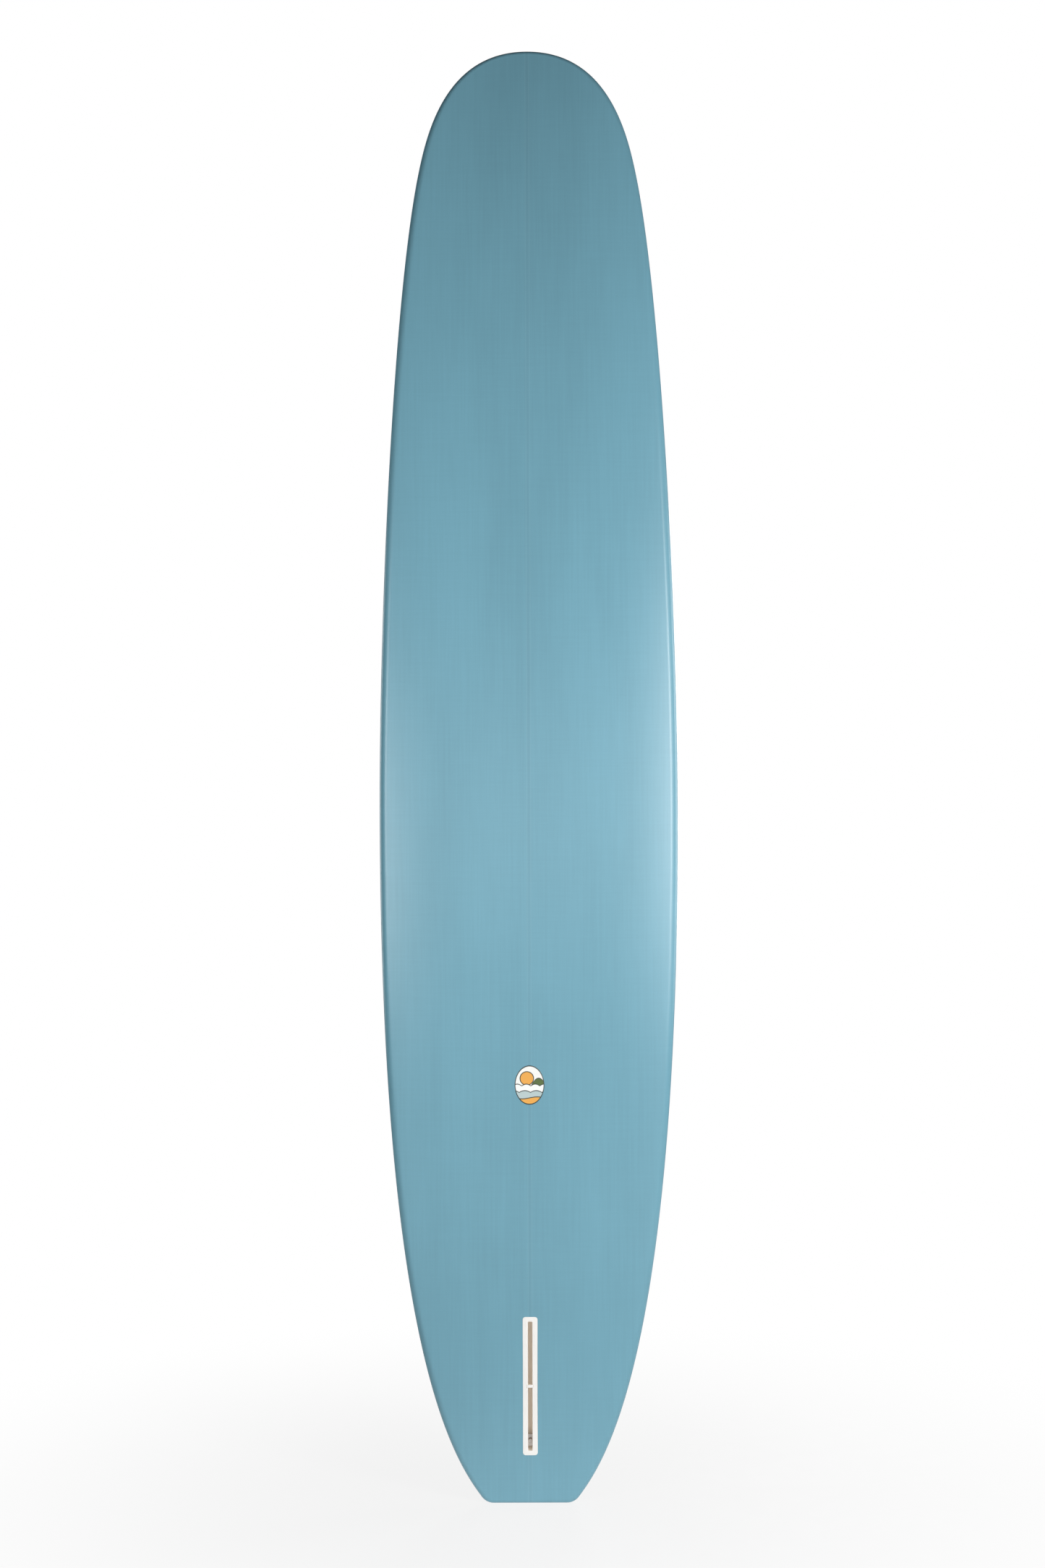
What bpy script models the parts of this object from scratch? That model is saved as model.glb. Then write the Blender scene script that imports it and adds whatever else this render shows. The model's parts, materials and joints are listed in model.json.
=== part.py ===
"""A longboard surfboard standing on its tail, as the shop hangs it, with its bottom facing -Y.

Units are metres. The origin is the middle of the flat tail end, +Z runs up to the nose, +Y is the
deck side and +X is across the board. The board is built as a glasser builds it: a foam blank split
by a timber stringer, a tinted bottom laminate that wraps the rails and ends in a cut lap on the
deck, a deck laminate inside that lap over a cloth patch, and a pinline over the seam. A fin box
with its bed of resin sits in the bottom, and a leash plug with its bed sits in the deck.
"""

import math

import bmesh
import bpy
from mathutils import Matrix, Vector

MM = 0.001

# Overall board.
LENGTH = 2.845
WIDTH = 0.575
THICKNESS = 0.073
TAIL_THICKNESS = 0.023
NOSE_THICKNESS = 0.024
TAIL_ROCKER = 0.085
NOSE_ROCKER = 0.115
TAIL_END_CUT = 0.6 * MM

# Outline: Bezier curves from the tail corner to the wide point, the shoulder and the nose.
WIDE_POINT = 1.35
TAIL_SIDE_WIDTH = 0.173
TAIL_SIDE_ANGLE = math.radians(36.7)
TAIL_SIDE_HANDLE = 0.081
TAIL_CORNER = 0.029
WIDE_HANDLE_DOWN = 1.10
WIDE_HANDLE_UP = 0.376
SHOULDER_SHARE = 0.73739
SHOULDER_BELOW_NOSE = 0.2465
SHOULDER_ANGLE = math.radians(11.2)
SHOULDER_HANDLE_DOWN = 0.244
SHOULDER_HANDLE_UP = 0.078
NOSE_HANDLE = 0.161

# Rocker, foil and section.
FLAT_POINT = 1.30
TAIL_ROCKER_POWER = 2.2
NOSE_ROCKER_POWER = 2.4
TAIL_FOIL_POWER = 2.9
NOSE_FOIL_POWER = 2.1
BOTTOM_SHARE = 0.45
MIDDLE_FULLNESS = 0.2466
END_FULLNESS = 0.435
BOTTOM_POWER = 3.5
DECK_POWER = 2.2
TAIL_FAN = 0.10
NOSE_FAN = 0.19

# Layers, counted from the outer surface inwards.
GAP = 0.3 * MM
LAMINATE = 0.8 * MM
PATCH = 0.5 * MM
LAP_WIDTH = 0.050
PATCH_INSET = 0.014
STRINGER = 0.0048
PINLINE_WIDTH = 0.005
PINLINE = 0.3 * MM

# Fin box, measured from its own face; its length runs along the board.
FIN_BOX_BASE = 0.0975
FLANGE_OVERHANG = 0.00575
FLANGE_END_OVERHANG = 0.00725
FLANGE_THICKNESS = 0.003
FLANGE_CORNER = 0.0055
BOX_DEPTH = 0.024
BOX_WALL = 0.002
SLOT_WIDTH = 0.0086
SLOT_LENGTH = 0.2595
TRACK_LIP = 0.00245
TRACK_HEIGHT = 0.005
TRACK_DEPTH = 0.009
TRACK_END = 0.006
BED_WALL = 0.003
BED_FLOOR = 0.0015
BOX_PROUD = 0.8 * MM

# Slot plug, nut plate and screw.
NOTCH_LENGTH = 0.0062
PLUG_THICKNESS = 0.004
PLATE_LENGTH = 0.024
SCREW_RADIUS = 0.002
SCREW_HEAD_CLEARANCE = 0.0005
SCREW_HEAD_DEPTH = 0.0045
SCREW_HEAD_THICKNESS = 0.0026
SCREW_END_DEPTH = 0.0175
DRIVE_RADIUS = 0.0014
DRIVE_DEPTH = 0.0013

# Leash plug.
LEASH_X = 0.045
LEASH_Z = 0.130
CUP_FLANGE_OVERHANG = 0.003
CUP_FLANGE_THICKNESS = 0.0013
CUP_RADIUS = 0.0125
CUP_WALL = 0.002
CUP_DEPTH = 0.016
CUP_FLOOR = 0.002
LEASH_BED_WALL = 0.002
PIN_RADIUS = 0.0016
PIN_DEPTH = 0.0065
CUP_PROUD = 0.2 * MM

# Badge.
BADGE_Z = 0.8265
BADGE_WIDTH = 0.057
BADGE_HEIGHT = 0.076
BADGE_THICKNESS = 0.3 * MM

# Mesh fineness.
END_STEPS = 2
CORNER_STEPS = 4
SIDE_STEPS = 9
UPPER_STEPS = 7
NOSE_STEPS = 7
DECK_PARTS = (0, 0.36, 0.68, 1)
BOTTOM_SHARES = (0, 0.38, 0.62, 0.84, 1)
RAIL_ANGLES = (65, 40, 18, 0, -18, -40, -65)
BLANK_RAIL_ANGLES = (40, 0, -40)
ROUND_STEPS = 24
NOSE_DENSITY = 0.7


def clear_scene():
    for old in list(bpy.data.objects):
        bpy.data.objects.remove(old, do_unlink=True)


def new_collection(name):
    made = bpy.data.collections.new(name)
    bpy.context.scene.collection.children.link(made)
    return made


def new_material(name, colour, roughness, metallic=0.0):
    made = bpy.data.materials.new(name)
    made.use_nodes = True
    shader = made.node_tree.nodes["Principled BSDF"]
    shader.inputs["Base Color"].default_value = (*colour, 1)
    shader.inputs["Roughness"].default_value = roughness
    shader.inputs["Metallic"].default_value = metallic
    return made


# The board's shape.


def foil_share(z):
    """0 at either end and 1 at the flat point, as the thickness and the rail radius grow."""
    if z < FLAT_POINT:
        return 1 - max(0, (FLAT_POINT - z) / FLAT_POINT) ** TAIL_FOIL_POWER
    return 1 - min(1, (z - FLAT_POINT) / (LENGTH - FLAT_POINT)) ** NOSE_FOIL_POWER


def thickness(z):
    end = TAIL_THICKNESS if z < FLAT_POINT else NOSE_THICKNESS
    return end + (THICKNESS - end) * foil_share(z)


def rail_radius(z):
    """The rail's round, as a share of the thickness that grows towards the thin ends."""
    fullness = END_FULLNESS + (MIDDLE_FULLNESS - END_FULLNESS) * foil_share(z)
    return fullness * thickness(z)


def middle(z):
    """Y of the rail's apex line at this height."""
    tail = max(0, (FLAT_POINT - z) / FLAT_POINT)
    nose = max(0, (z - FLAT_POINT) / (LENGTH - FLAT_POINT))
    rocker = TAIL_ROCKER * tail**TAIL_ROCKER_POWER + NOSE_ROCKER * nose**NOSE_ROCKER_POWER
    return rocker - TAIL_ROCKER + BOTTOM_SHARE * (thickness(z) - TAIL_THICKNESS)


def crown(face, z):
    """How far the deck (1) or the bottom (-1) rises above the top of the rail's round."""
    share = 1 - BOTTOM_SHARE if face > 0 else BOTTOM_SHARE
    return share * thickness(z) - rail_radius(z)


def power_of(face):
    return DECK_POWER if face > 0 else BOTTOM_POWER


def bezier(points, t):
    a, b, c, d = points
    u = 1 - t
    return u**3 * a + 3 * u * u * t * b + 3 * u * t * t * c + t**3 * d


def bezier_normal(points, t):
    a, b, c, d = points
    u = 1 - t
    tangent = u * u * (b - a) + 2 * u * t * (c - b) + t * t * (d - c)
    return Vector((tangent.y, -tangent.x)).normalized()


def outline_curves():
    """The right half's three curves in plan, as Bezier points (x, z) that run up the board."""
    corner = Vector((TAIL_SIDE_WIDTH / 2, 0))
    flare = Vector((math.sin(TAIL_SIDE_ANGLE), math.cos(TAIL_SIDE_ANGLE)))
    wide = Vector((WIDTH / 2, WIDE_POINT))
    shoulder = Vector((SHOULDER_SHARE * WIDTH / 2, LENGTH - SHOULDER_BELOW_NOSE))
    lean = Vector((-math.sin(SHOULDER_ANGLE), math.cos(SHOULDER_ANGLE)))
    nose = Vector((0, LENGTH))
    lower = (corner, corner + TAIL_SIDE_HANDLE * flare, wide - Vector((0, WIDE_HANDLE_DOWN)), wide)
    upper = (wide, wide + Vector((0, WIDE_HANDLE_UP)), shoulder - SHOULDER_HANDLE_DOWN * lean, shoulder)
    tip = (shoulder, shoulder + SHOULDER_HANDLE_UP * lean, nose + Vector((NOSE_HANDLE, 0)), nose)
    return lower, upper, tip


def corner_round(lower):
    """The round between the tail's end and its side: its centre, and where it meets the side."""
    low, high = 0.0, 1.0
    for _ in range(40):
        t = (low + high) / 2
        centre = bezier(lower, t) - TAIL_CORNER * bezier_normal(lower, t)
        if centre.y < TAIL_CORNER - TAIL_END_CUT:
            low = t
        else:
            high = t
    return centre, t


def rail_line(fineness=1):
    """Stations round the right half, from the tail's middle to the nose: (point, outward normal)."""
    lower, upper, tip = outline_curves()
    centre, start = corner_round(lower)
    down = Vector((0, -1))
    foot = centre + TAIL_CORNER * down
    line = [(Vector((foot.x * i / END_STEPS, foot.y)), down) for i in range(END_STEPS)]
    turn = math.pi / 2 + math.atan2(bezier_normal(lower, start).y, bezier_normal(lower, start).x)
    for i in range(CORNER_STEPS):
        a = turn * i / CORNER_STEPS
        normal = Vector((math.sin(a), -math.cos(a)))
        line.append((centre + TAIL_CORNER * normal, normal))
    for curve, steps, first in ((lower, SIDE_STEPS, start), (upper, UPPER_STEPS, 0), (tip, NOSE_STEPS, 0)):
        steps *= fineness
        for i in range(steps):
            share = i / steps
            if curve is tip:
                share = 1 - (1 - share) ** (1 / NOSE_DENSITY)
            t = first + (1 - first) * share
            line.append((bezier(curve, t), bezier_normal(curve, t)))
    line.append((Vector((0, LENGTH)), Vector((0, 1))))
    return line


class Station:
    """One rib of the board, from the centreline to the rail, on one side."""

    def __init__(self, point, normal, side):
        self.z = max(point.y, 0)
        self.radius = rail_radius(self.z)
        edge = point - self.radius * normal
        edge.x = max(edge.x, 0)
        spine = min(max(edge.y, TAIL_FAN), LENGTH - NOSE_FAN)
        self.base = Vector((0, spine))
        self.edge = Vector((side * edge.x, edge.y))
        self.normal = Vector((side * normal.x, normal.y))
        self.length = (self.edge - self.base).length

    def share_at(self, distance):
        """How far along the rib a line is that runs this far in from the rail's edge."""
        return 1 - (distance - self.radius) / self.length

    def tilt(self, face, share):
        """The angle of the surface's normal away from the Y axis, towards the rail."""
        power = power_of(face)
        return math.atan(crown(face, self.edge.y) * power * share ** (power - 1) / self.length)

    def place(self, share, angle, depth, rise):
        """A point this deep under the surface, whose normal is turned by angle from the rail's."""
        plan = self.base.lerp(self.edge, share)
        plan += (self.radius - depth) * math.cos(angle) * self.normal
        z = self.base.lerp(self.edge, share).y
        y = middle(z) + rise + (rail_radius(z) - depth) * math.sin(angle)
        return Vector((plan.x, y, max(plan.y, depth)))

    def on_face(self, face, share, depth):
        z = self.base.lerp(self.edge, share).y
        rise = face * crown(face, z) * (1 - share ** power_of(face))
        return self.place(share, face * (math.pi / 2 - self.tilt(face, share)), depth, rise)

    def on_rail(self, angle, depth):
        top = math.pi / 2 - self.tilt(1, 1)
        bottom = math.pi / 2 - self.tilt(-1, 1)
        full = top if angle > 0 else bottom
        return self.place(1, min(1, abs(angle) / 80) * math.copysign(full, angle), depth, 0)


def ring_of_stations():
    right = [Station(point, normal, 1) for point, normal in rail_line()]
    left = [Station(point, normal, -1) for point, normal in rail_line()][1:-1]
    return right + left[::-1]


def face_row(face, share, depth):
    return lambda station: station.on_face(face, share, depth)


def inset_row(face, part, distance, depth):
    """A row at a part of the way to a line that runs this distance in from the rail's edge."""
    return lambda station: station.on_face(face, part * station.share_at(distance), depth)


def rail_row(angle, depth):
    return lambda station: station.on_rail(angle, depth)


def split_quad(bm, corners):
    """Two triangles that meet on the diagonal from the corner farthest off the centreline.

    Every layer is split the same way, so thin layers over each other don't cross where they twist.
    """
    far = max(range(4), key=lambda i: abs(corners[i].co.x))
    a, b, c, d = corners[far:] + corners[:far]
    bm.faces.new((a, b, c))
    bm.faces.new((a, c, d))


def skin_mesh(rows, closed):
    """A mesh through the rows, each a loop of one point for every station; its ends close on the spine."""
    stations = ring_of_stations()
    bm = bmesh.new()
    loops = [[bm.verts.new(row(station)) for station in stations] for row in rows]
    pairs = list(zip(loops, loops[1:] + loops[:1]))
    for a, b in pairs if closed else pairs[:-1]:
        for i in range(len(stations)):
            j = (i + 1) % len(stations)
            split_quad(bm, [a[i], a[j], b[j], b[i]])
    bmesh.ops.remove_doubles(bm, verts=bm.verts, dist=1e-6)
    bmesh.ops.recalc_face_normals(bm, faces=bm.faces)
    return bm


def deck_height(x, z):
    """Y of the deck's outer surface in the part where the ribs run straight across."""
    share = abs(x) / core_half_width(z)
    return middle(z) + crown(1, z) * (1 - share**DECK_POWER) + rail_radius(z)


def bottom_height(x, z):
    share = abs(x) / core_half_width(z)
    return middle(z) - crown(-1, z) * (1 - share**BOTTOM_POWER) - rail_radius(z)


def core_half_width(z):
    """Half the width inside the rail's round at this height."""
    edges = [point - rail_radius(point.y) * normal for point, normal in rail_line(fineness=4)]
    for low, high in zip(edges, edges[1:]):
        if low.y <= z <= high.y and high.y > low.y:
            return low.x + (high.x - low.x) * (z - low.y) / (high.y - low.y)
    raise ValueError(f"{z} m is not on the board")


# Objects.


def link(name, mesh, collection, material=None, parent=None):
    made = bpy.data.objects.new(name, mesh)
    collection.objects.link(made)
    if material:
        mesh.materials.append(material)
    made.parent = parent
    return made


def solid(name, bm, collection, material=None, parent=None, smooth_under=None):
    mesh = bpy.data.meshes.new(name)
    bm.to_mesh(mesh)
    bm.free()
    if smooth_under:
        mesh.shade_smooth()
        mesh.set_sharp_from_angle(angle=math.radians(smooth_under))
    return link(name, mesh, collection, material, parent)


def as_cutter(cutter):
    cutter.hide_render = True
    cutter.display_type = "WIRE"
    return cutter


def cut(target, *cutters):
    for cutter in cutters:
        boolean = target.modifiers.new("Cut " + cutter.name, "BOOLEAN")
        boolean.operation = "DIFFERENCE"
        boolean.object = cutter


def plate(width, length, top, bottom, corner=0.0, steps=4):
    """A block with upright edges rounded, its length along Y, from bottom to top in Z."""
    bm = bmesh.new()
    bmesh.ops.create_cube(bm, size=1)
    bmesh.ops.scale(bm, vec=(width, length, top - bottom), verts=bm.verts)
    bmesh.ops.translate(bm, vec=(0, 0, (top + bottom) / 2), verts=bm.verts)
    if corner:
        upright = [e for e in bm.edges if abs(e.verts[0].co.z - e.verts[1].co.z) > (top - bottom) / 2]
        bmesh.ops.bevel(bm, geom=upright, offset=corner, segments=steps, affect="EDGES", profile=0.5)
    return bm


def turned(name, profile, collection, material=None, parent=None):
    """A solid turned about Z from a profile of (radius, height), run down its outer side."""
    bm = bmesh.new()
    verts = [bm.verts.new((r, 0, z)) for r, z in profile]
    for a, b in zip(verts, verts[1:]):
        bm.edges.new((a, b))
    if profile[0][0] > 0:
        bm.edges.new((verts[-1], verts[0]))
    made = solid(name, bm, collection, material, parent)
    screw = made.modifiers.new("Turn", "SCREW")
    screw.axis = "Z"
    screw.steps = screw.render_steps = ROUND_STEPS
    screw.use_merge_vertices = True
    screw.merge_threshold = 1e-6
    screw.use_smooth_shade = True
    return made


def rod(name, radius, length, along, collection, material=None, parent=None):
    """A cylinder centred on its parent's origin, its length along the named axis."""
    bm = bmesh.new()
    bmesh.ops.create_cone(
        bm, cap_ends=True, segments=16, radius1=radius, radius2=radius, depth=length
    )
    if along == "X":
        bmesh.ops.rotate(bm, matrix=Matrix.Rotation(math.pi / 2, 3, "Y"), verts=bm.verts)
    return solid(name, bm, collection, material, parent, smooth_under=40)


def seat(name, origin, up, outward, collection):
    """An empty whose +Z points out of the surface and whose +Y points up the board."""
    z = outward.normalized()
    x = up.cross(z).normalized()
    frame = Matrix((x, z.cross(x), z)).transposed().to_4x4()
    frame.translation = origin
    made = bpy.data.objects.new(name, None)
    made.empty_display_size = 0.03
    made.matrix_world = frame
    collection.objects.link(made)
    return made


# The glassed blank.


def blank_rows():
    """The foam's surface: under the deck it leaves room for the laminate and the patch."""
    under_patch = LAMINATE + PATCH + 2 * GAP
    under_skin = LAMINATE + GAP
    rows = [*deck_rows(under_patch), face_row(1, 1, under_skin)]
    rows += [rail_row(angle, under_skin) for angle in BLANK_RAIL_ANGLES]
    rows += [face_row(-1, share, under_skin) for share in BOTTOM_SHARES[::-1]]
    return rows


def blank_strip(name, low_x, high_x, collection, material):
    """The part of the blank between two planes across the board; None leaves that side whole."""
    bm = skin_mesh(blank_rows(), closed=False)
    for x, side in ((low_x, -1), (high_x, 1)):
        if x is None:
            continue
        cut_through = bmesh.ops.bisect_plane(
            bm,
            geom=bm.verts[:] + bm.edges[:] + bm.faces[:],
            dist=1e-7,
            plane_co=(x, 0, 0),
            plane_no=(side, 0, 0),
            clear_outer=True,
        )
        rim = [g for g in cut_through["geom_cut"] if isinstance(g, bmesh.types.BMEdge)]
        bmesh.ops.triangle_fill(bm, edges=rim, use_beauty=True)
    bmesh.ops.recalc_face_normals(bm, faces=bm.faces)
    return solid(name, bm, collection, material, smooth_under=35)


def make_blank(board, finishes):
    half = STRINGER / 2
    left = blank_strip("foam_blank_left", None, -half - GAP, board, finishes["foam"])
    right = blank_strip("foam_blank_right", half + GAP, None, board, finishes["foam"])
    stringer = blank_strip("stringer", -half, half, board, finishes["timber"])
    return left, right, stringer


def make_bottom_laminate(board, finishes):
    """The tinted cloth over the bottom, round the rails and onto the deck as far as the lap."""
    outside = [face_row(-1, share, 0) for share in BOTTOM_SHARES]
    outside += [rail_row(angle, 0) for angle in RAIL_ANGLES[::-1]]
    outside += [face_row(1, 1, 0), inset_row(1, 1, LAP_WIDTH, 0)]
    inside = [inset_row(1, 1, LAP_WIDTH, LAMINATE), face_row(1, 1, LAMINATE)]
    inside += [rail_row(angle, LAMINATE) for angle in RAIL_ANGLES]
    inside += [face_row(-1, share, LAMINATE) for share in BOTTOM_SHARES[::-1]]
    bm = skin_mesh(outside + inside, closed=False)
    return solid("bottom_laminate", bm, board, finishes["tint"], smooth_under=35)


def deck_rows(depth):
    """Rows on the deck from the spine to the patch's edge, at the places that every layer shares."""
    return [inset_row(1, part, LAP_WIDTH + PATCH_INSET, depth) for part in DECK_PARTS]


def make_deck_laminate(board, finishes):
    """The clear cloth inside the lap; it covers the patch and ends at the seam."""
    seam = LAP_WIDTH + GAP
    rows = deck_rows(0) + [inset_row(1, 1, seam, 0), inset_row(1, 1, seam, LAMINATE)]
    rows += deck_rows(LAMINATE)[::-1]
    return solid("deck_laminate", skin_mesh(rows, closed=False), board, finishes["cloth"], smooth_under=35)


def make_deck_patch(board, finishes):
    """A second layer of cloth under the deck laminate, where the rider stands."""
    top = LAMINATE + GAP
    rows = deck_rows(top) + deck_rows(top + PATCH)[::-1]
    return solid("deck_patch", skin_mesh(rows, closed=False), board, finishes["patch"], smooth_under=35)


def make_pinline(board, finishes):
    """A thin painted line on the deck, over the seam between the lap and the deck laminate."""
    seam = LAP_WIDTH + GAP / 2
    outer, inner = seam - PINLINE_WIDTH / 2, seam + PINLINE_WIDTH / 2
    rows = [
        inset_row(1, 1, outer, -GAP),
        inset_row(1, 1, inner, -GAP),
        inset_row(1, 1, inner, -GAP - PINLINE),
        inset_row(1, 1, outer, -GAP - PINLINE),
    ]
    return solid("pinline", skin_mesh(rows, closed=True), board, finishes["pinline"])


def make_badge(board, finishes):
    """A thin upright oval that lies on the bottom, in rings from its middle."""
    bm = bmesh.new()
    sheets = []
    for rise in (GAP + BADGE_THICKNESS, GAP):
        rings = []
        for part in (0, 0.5, 1):
            ring = []
            for i in range(ROUND_STEPS):
                a = 2 * math.pi * i / ROUND_STEPS
                x = part * BADGE_WIDTH / 2 * math.cos(a)
                z = BADGE_Z + part * BADGE_HEIGHT / 2 * math.sin(a)
                ring.append(bm.verts.new((x, bottom_height(x, z) - rise, z)))
            rings.append(ring)
        sheets.append(rings)
    loops = sheets[0] + sheets[1][::-1]
    for a, b in zip(loops, loops[1:]):
        for i in range(ROUND_STEPS):
            j = (i + 1) % ROUND_STEPS
            bm.faces.new((a[i], a[j], b[j], b[i]))
    bmesh.ops.remove_doubles(bm, verts=bm.verts, dist=1e-6)
    bmesh.ops.recalc_face_normals(bm, faces=bm.faces)
    return solid("badge", bm, board, finishes["badge"])


# The fin box.


def track_width():
    return SLOT_WIDTH + 2 * TRACK_LIP


def body_width():
    return track_width() + 2 * BOX_WALL


def body_length():
    return SLOT_LENGTH + 2 * BOX_WALL


def flange_size():
    return body_width() + 2 * FLANGE_OVERHANG, body_length() + 2 * FLANGE_END_OVERHANG


def fin_box_seat(cutters):
    """The middle of the box's face, on the straight line between its ends on the bottom."""
    ends = [FIN_BOX_BASE, FIN_BOX_BASE + flange_size()[1]]
    low, high = (Vector((0, bottom_height(0, max(z, TAIL_FAN)), max(z, TAIL_FAN))) for z in ends)
    up = (high - low).normalized()
    outward = Vector((1, 0, 0)).cross(up)
    middle_z = sum(ends) / 2
    share = (middle_z - low.z) / (high.z - low.z)
    return seat("fin_box_seat", low.lerp(high, share) + BOX_PROUD * outward, up, outward, cutters)


def make_fin_box(board, cutters, finishes, frame):
    box = solid(
        "fin_box",
        plate(*flange_size(), 0, -FLANGE_THICKNESS, FLANGE_CORNER),
        board,
        finishes["box"],
        frame,
    )
    trough = as_cutter(
        solid(
            "trough",
            plate(body_width(), body_length(), -FLANGE_THICKNESS / 2, -BOX_DEPTH, BOX_WALL, 2),
            cutters,
            parent=frame,
        )
    )
    join = box.modifiers.new("Trough", "BOOLEAN")
    join.operation = "UNION"
    join.object = trough
    above = 0.002
    shapes = {
        "slot": plate(SLOT_WIDTH, SLOT_LENGTH, above, -BOX_DEPTH + BOX_WALL, 0.002, 2),
        "track": plate(
            track_width(), SLOT_LENGTH - 2 * TRACK_END, -TRACK_DEPTH, -TRACK_DEPTH - TRACK_HEIGHT
        ),
        "notch": plate(track_width(), NOTCH_LENGTH, above, -TRACK_DEPTH - TRACK_HEIGHT / 2),
    }
    cut(box, *(as_cutter(solid(n, bm, cutters, parent=frame)) for n, bm in shapes.items()))
    return box


def make_fin_box_bed(board, cutters, finishes, frame):
    """The resin that holds the box, as a tub round its trough and under its flange."""
    around = 2 * (GAP + BED_WALL)
    top, floor = -FLANGE_THICKNESS - GAP, -BOX_DEPTH - GAP - BED_FLOOR
    bm = plate(body_width() + around, body_length() + around, top, floor, BED_WALL, 3)
    bed = solid("fin_box_bed", bm, board, finishes["resin"], frame)
    room = plate(body_width() + 2 * GAP, body_length() + 2 * GAP, 0, -BOX_DEPTH - GAP, BOX_WALL, 2)
    cut(bed, as_cutter(solid("trough_room", room, cutters, parent=frame)))
    return bed


def fin_box_pockets(cutters, frame):
    """What is routed out of the blank: a shallow step for the flange and a deep one for the bed."""
    above = 0.012
    width, length = flange_size()
    step = plate(
        width + 2 * GAP,
        length + 2 * GAP,
        above,
        -FLANGE_THICKNESS - GAP,
        FLANGE_CORNER + GAP,
    )
    around = 2 * (2 * GAP + BED_WALL)
    deep = plate(
        body_width() + around,
        body_length() + around,
        0,
        -BOX_DEPTH - 2 * GAP - BED_FLOOR,
        BED_WALL + GAP,
        3,
    )
    flange_room = as_cutter(solid("flange_room", step, cutters, parent=frame))
    return flange_room, as_cutter(solid("bed_room", deep, cutters, parent=frame))


def make_slot_plug(board, finishes, frame):
    """The white bar pressed across the slot, in the notches where the nut plate goes in."""
    bm = plate(track_width() - 2 * GAP, NOTCH_LENGTH - 2 * GAP, 0, -PLUG_THICKNESS)
    return solid("slot_plug", bm, board, finishes["box"], frame)


def plate_seat(cutters, frame):
    """The nut plate's place, resting on the lower end of the track."""
    made = bpy.data.objects.new("nut_plate_seat", None)
    made.empty_display_size = 0.01
    made.parent = frame
    low = -SLOT_LENGTH / 2 + TRACK_END + GAP + PLATE_LENGTH / 2
    made.location = (0, low, -TRACK_DEPTH - TRACK_HEIGHT / 2)
    cutters.objects.link(made)
    return made


def make_nut_plate(board, cutters, finishes, place):
    half = TRACK_HEIGHT / 2 - GAP
    bm = plate(track_width() - 2 * GAP, PLATE_LENGTH, half, -half, 0.002, 2)
    nut = solid("fin_nut_plate", bm, board, finishes["steel"], place)
    hole = rod("nut_hole", SCREW_RADIUS + GAP, TRACK_HEIGHT * 2, "Z", cutters, parent=place)
    cut(nut, as_cutter(hole))
    return nut


def make_fin_screw(board, cutters, finishes, place):
    """A pan head and its shank, turned about the nut plate's hole, with a hexagon socket."""
    face = TRACK_DEPTH + TRACK_HEIGHT / 2
    head_top = face - SCREW_HEAD_DEPTH
    head_low = head_top - SCREW_HEAD_THICKNESS
    tip = face - SCREW_END_DEPTH
    head_radius = SLOT_WIDTH / 2 - SCREW_HEAD_CLEARANCE
    edge = 0.0008
    profile = [
        (0, head_top),
        (head_radius - edge, head_top),
        (head_radius, head_top - edge),
        (head_radius, head_low),
        (SCREW_RADIUS, head_low),
        (SCREW_RADIUS, tip + edge),
        (SCREW_RADIUS - edge, tip),
        (0, tip),
    ]
    screw = turned("fin_screw", profile, board, finishes["steel"], place)
    bm = bmesh.new()
    bmesh.ops.create_cone(
        bm, cap_ends=True, segments=6, radius1=DRIVE_RADIUS, radius2=DRIVE_RADIUS, depth=2 * DRIVE_DEPTH
    )
    bmesh.ops.translate(bm, vec=(0, 0, head_top), verts=bm.verts)
    cut(screw, as_cutter(solid("hex_drive", bm, cutters, parent=place)))
    return screw


# The leash plug.


def leash_seat(cutters):
    step = 0.01
    here = Vector((LEASH_X, deck_height(LEASH_X, LEASH_Z), LEASH_Z))
    up = Vector((LEASH_X, deck_height(LEASH_X, LEASH_Z + step), LEASH_Z + step)) - here
    across = Vector((LEASH_X + step, deck_height(LEASH_X + step, LEASH_Z), LEASH_Z)) - here
    outward = up.cross(across).normalized()
    return seat("leash_seat", here + CUP_PROUD * outward, up, outward, cutters)


def make_leash_cup(board, cutters, finishes, frame):
    inner = CUP_RADIUS - CUP_WALL
    flange = CUP_RADIUS + CUP_FLANGE_OVERHANG
    edge = 0.0004
    profile = [
        (0, CUP_FLOOR - CUP_DEPTH),
        (inner, CUP_FLOOR - CUP_DEPTH),
        (inner, 0),
        (flange - edge, 0),
        (flange, -edge),
        (flange, -CUP_FLANGE_THICKNESS),
        (CUP_RADIUS, -CUP_FLANGE_THICKNESS),
        (CUP_RADIUS, -CUP_DEPTH),
        (0, -CUP_DEPTH),
    ]
    cup = turned("leash_cup", profile, board, finishes["cup"], frame)
    hole = rod("pin_hole", PIN_RADIUS + GAP, 4 * CUP_RADIUS, "X", cutters, parent=frame)
    hole.location.z = -PIN_DEPTH
    cut(cup, as_cutter(hole))
    return cup


def make_leash_pin(board, finishes, frame):
    pin = rod("leash_pin", PIN_RADIUS, 2 * (CUP_RADIUS - GAP), "X", board, finishes["steel"], frame)
    pin.location.z = -PIN_DEPTH
    return pin


def make_leash_bed(board, finishes, frame):
    """The resin round the cup, as a tub under its flange."""
    room = CUP_RADIUS + GAP
    top = -CUP_FLANGE_THICKNESS - GAP
    floor = -CUP_DEPTH - GAP
    profile = [
        (0, floor),
        (room, floor),
        (room, top),
        (room + LEASH_BED_WALL, top),
        (room + LEASH_BED_WALL, floor - LEASH_BED_WALL),
        (0, floor - LEASH_BED_WALL),
    ]
    return turned("leash_bed", profile, board, finishes["resin"], frame)


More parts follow.
